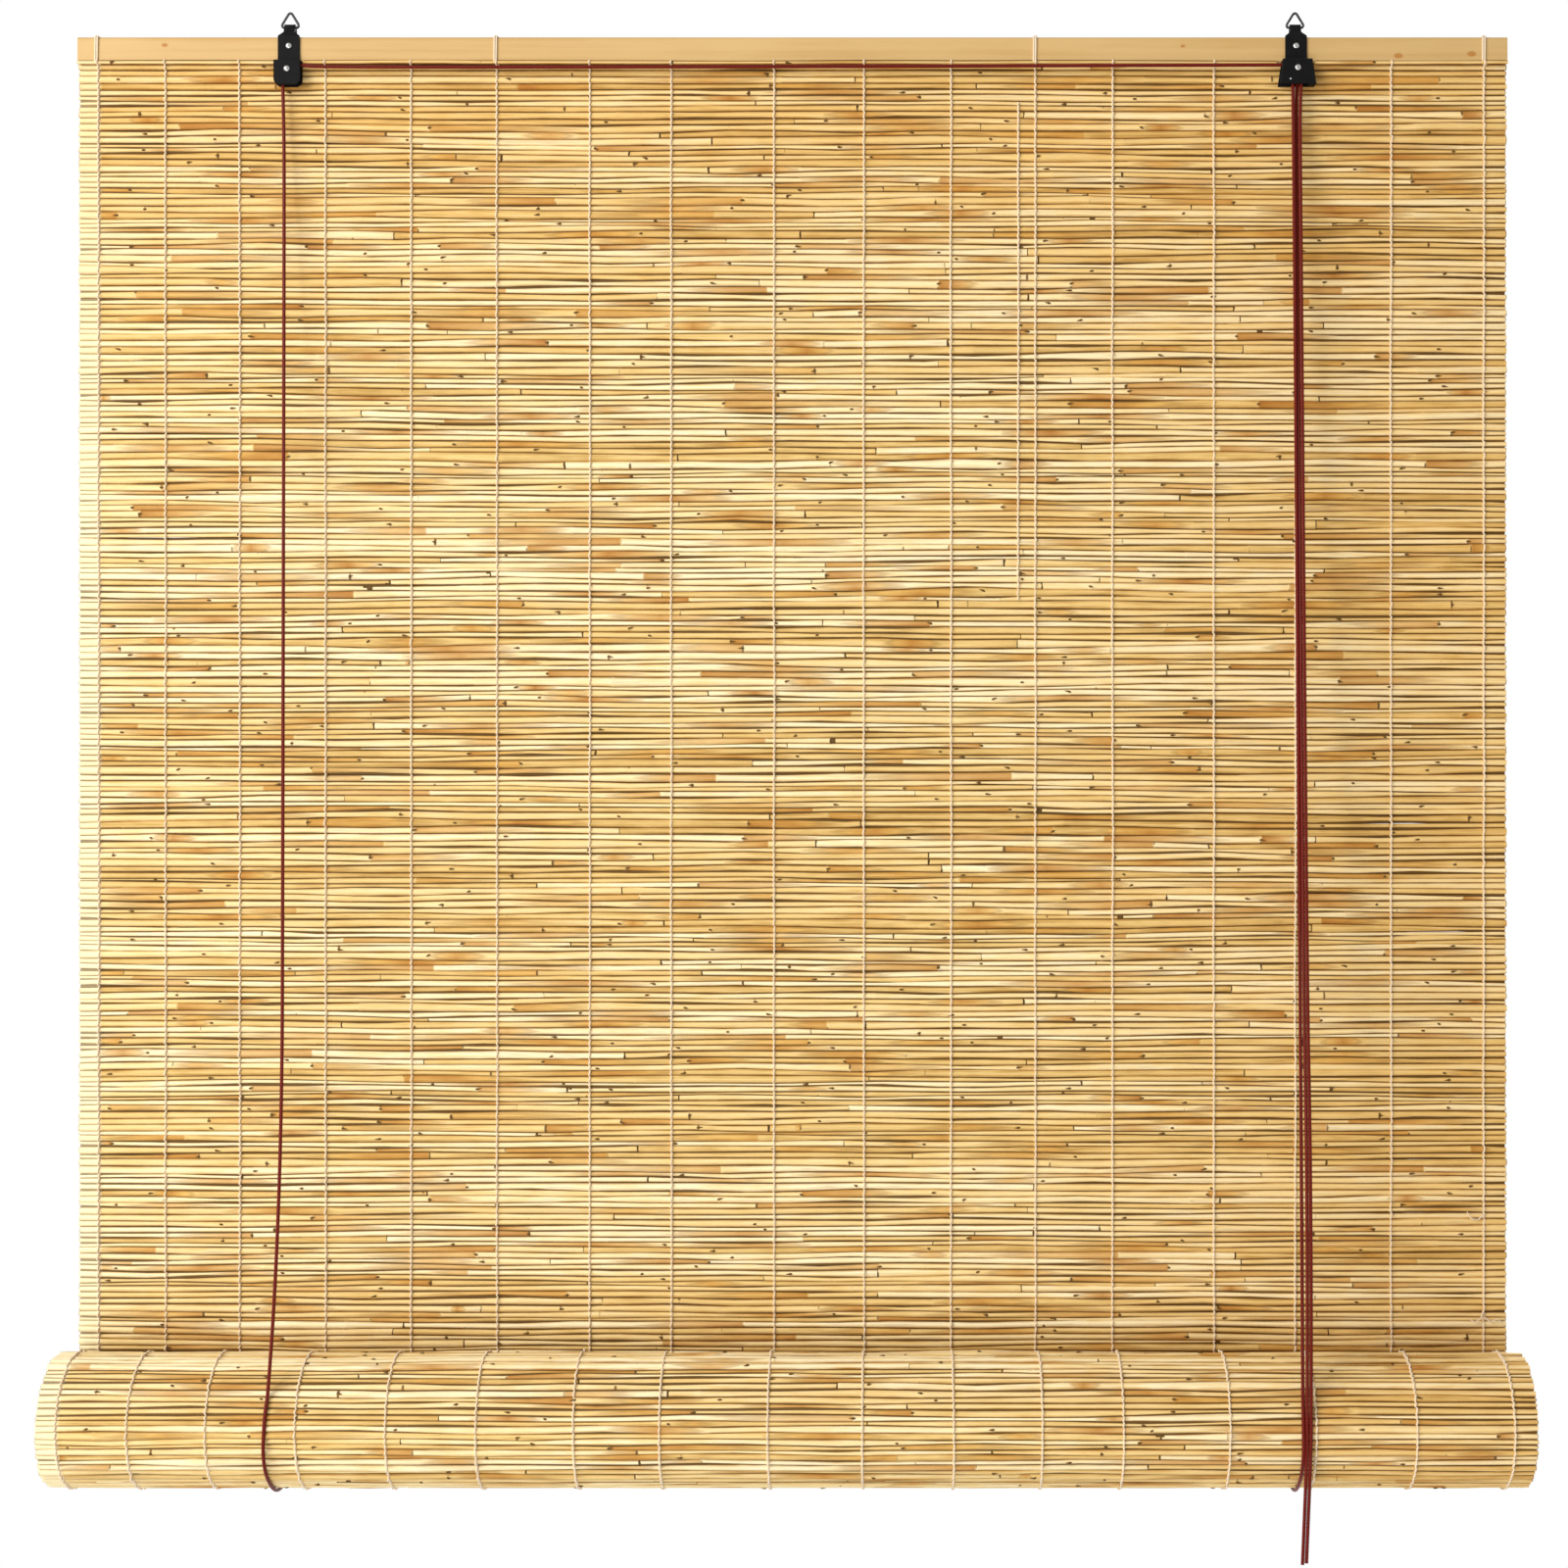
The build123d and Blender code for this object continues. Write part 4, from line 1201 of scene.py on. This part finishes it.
class BLIND_OT_cords(bpy.types.Operator):
    """Lift cords, their slings and knots, and the pull cords."""

    bl_idname = "blind.cords"
    bl_label = "Cords"

    def execute(self, context):
        for name, route in (("left_front_cord", LEFT_FRONT), ("right_front_cord", RIGHT_FRONT)):
            piece, _ = cord_piece(name + "_braid", [route], name)
            hang(piece)
        piece, _ = cord_piece("sling_braid", [LEFT_SLING, RIGHT_SLING], "lift_cord_slings")
        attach(piece, "slings")
        low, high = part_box("cord_knots")
        knot_y, knot_z = (low.y + high.y) / 2, (low.z + high.z) / 2
        knots = [knot_route(x, knot_y, knot_z) for x in (-HOOK_SIDE, HOOK_SIDE)]
        piece, _ = cord_piece("knot_braid", knots, "cord_knots")
        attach(piece, "head")
        for name, route in (("left_rear_cord", LEFT_REAR), ("right_rear_cord", RIGHT_REAR)):
            piece, _ = cord_piece(name + "_braid", [route], name)
            hang(piece)
        cross, _ = cord_piece("cross_braid", [CROSS], "cross_cord")
        turns, _ = cord_piece("turn_braid", [LEFT_TURN, RIGHT_TURN, PULL_1_TURN, PULL_2_TURN])
        for piece in (cross, turns):
            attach(piece, "head")
        for name, route in (("pull_run_1", PULL_1), ("pull_run_2", PULL_2)):
            piece, followed = cord_piece(name + "_braid", [route], name)
            hang(piece)
        for name, route in (("pull_tail_1", TAIL_1), ("pull_tail_2", TAIL_2)):
            piece, followed = cord_piece(name + "_braid", [route], name)
            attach(piece, "slings")
        return {"FINISHED"}


def soft_lamp(name, place, aim, size, power):
    """Square area lamp that looks at a point."""
    lamp = bpy.data.lights.new(name, "AREA")
    lamp.size = size
    lamp.energy = power
    made = linked(name, lamp)
    made.location = place
    made.rotation_euler = (Vector(aim) - Vector(place)).to_track_quat("-Z", "Y").to_euler()


class BLIND_OT_stage(bpy.types.Operator):
    """Floor, studio light and camera."""

    bl_idname = "blind.stage"
    bl_label = "Studio"

    def execute(self, context):
        floor_z = -2.0
        mesh = bpy.data.meshes.new("floor")
        corners = ((-2.2, -2.0), (2.2, -2.0), (2.2, 2.4), (-2.2, 2.4))
        mesh.from_pydata([(x, y, floor_z) for x, y in corners], [], [(0, 1, 2, 3)])
        floor = linked("floor", mesh)
        pale, sheet, shader = finish_sheet("floor", {"Roughness": 0.9})
        mottle = sheet.noise(scale=3.0)
        shade = sheet.mix(mottle, (0.80, 0.80, 0.79), (0.84, 0.84, 0.83))
        feed(sheet, shader, Base_Color=shade)
        mesh.materials.append(pale)
        world = bpy.data.worlds.new("studio")
        world.use_nodes = True
        world.node_tree.nodes.clear()
        sheet = NodeSheet(world.node_tree)
        rays = sheet.node("ShaderNodeLightPath", {}, {})
        straight = ("Is Camera Ray", "Is Glossy Ray", "Is Transmission Ray")
        seen = [Value(sheet, rays.outputs[name]) for name in straight]
        shown = (seen[0] + seen[1] + seen[2]).limited()
        fill = 0.36
        sockets = {"Color": (1, 1, 1, 1), "Strength": shown * (1 - fill) + fill}
        glow = sheet.node("ShaderNodeBackground", {}, sockets)
        sheet.node("ShaderNodeOutputWorld", {}, {"Surface": Value(sheet, glow.outputs[0])})
        context.scene.world = world
        soft_lamp("key lamp", (-2.5, -2.3, 1.0), (-0.1, 0.0, -0.55), 2.0, 130.0)
        soft_lamp("fill lamp", (-0.8, -2.7, -1.7), (-0.1, 0.0, -0.75), 2.0, 40.0)
        soft_lamp("rear lamp", (1.6, 3.0, 0.6), (0.0, 0.0, -0.55), 2.4, 120.0)
        camera = bpy.data.cameras.new("camera")
        camera.sensor_width = SENSOR_MM
        camera.lens = SENSOR_MM * LENS_PX / PHOTO_PX
        camera.shift_x = SHIFT_PX / PHOTO_PX
        camera.clip_start = 0.05
        made = linked("camera", camera)
        made.location = (0.077, -1.724, -0.539)
        made.rotation_euler = (pi / 2, 0.0, 0.0)
        context.scene.camera = made
        context.scene.view_settings.view_transform = "Standard"
        return {"FINISHED"}


class BLIND_PT_sidebar(bpy.types.Panel):
    """Lists the blind's pieces, sizes and colours."""

    bl_idname = "BLIND_PT_sidebar"
    bl_label = "Reed blind"
    bl_space_type = "VIEW_3D"
    bl_region_type = "UI"
    bl_category = "Blind"

    def draw(self, context):
        layout = self.layout
        for group in (context.scene.blind_sizes, context.scene.blind_colours):
            for name in group.bl_rna.properties.keys():
                if name not in ("rna_type", "name"):
                    layout.prop(group, name)
        for piece in PIECES:
            layout.operator(piece.bl_idname)


PIECES = (
    BLIND_OT_stage, BLIND_OT_cords, BLIND_OT_head, BLIND_OT_panel, BLIND_OT_roll, BLIND_OT_fittings,
)
CLASSES = (BlindSizes, BlindColours, *PIECES, BLIND_PT_sidebar)


def register():
    """Make the classes and the scene's settings known."""
    for known in CLASSES:
        bpy.utils.register_class(known)
    bpy.types.Scene.blind_sizes = bpy.props.PointerProperty(type=BlindSizes)
    bpy.types.Scene.blind_colours = bpy.props.PointerProperty(type=BlindColours)


def unregister():
    """Forget the scene's settings and the classes."""
    del bpy.types.Scene.blind_colours
    del bpy.types.Scene.blind_sizes
    for known in reversed(CLASSES):
        bpy.utils.unregister_class(known)


def main():
    """Build every piece."""
    register()
    bpy.ops.blind.stage()
    bpy.ops.blind.cords()
    bpy.ops.blind.head()
    bpy.ops.blind.panel()
    bpy.ops.blind.roll()
    bpy.ops.blind.fittings()


if __name__ == "__main__":
    main()
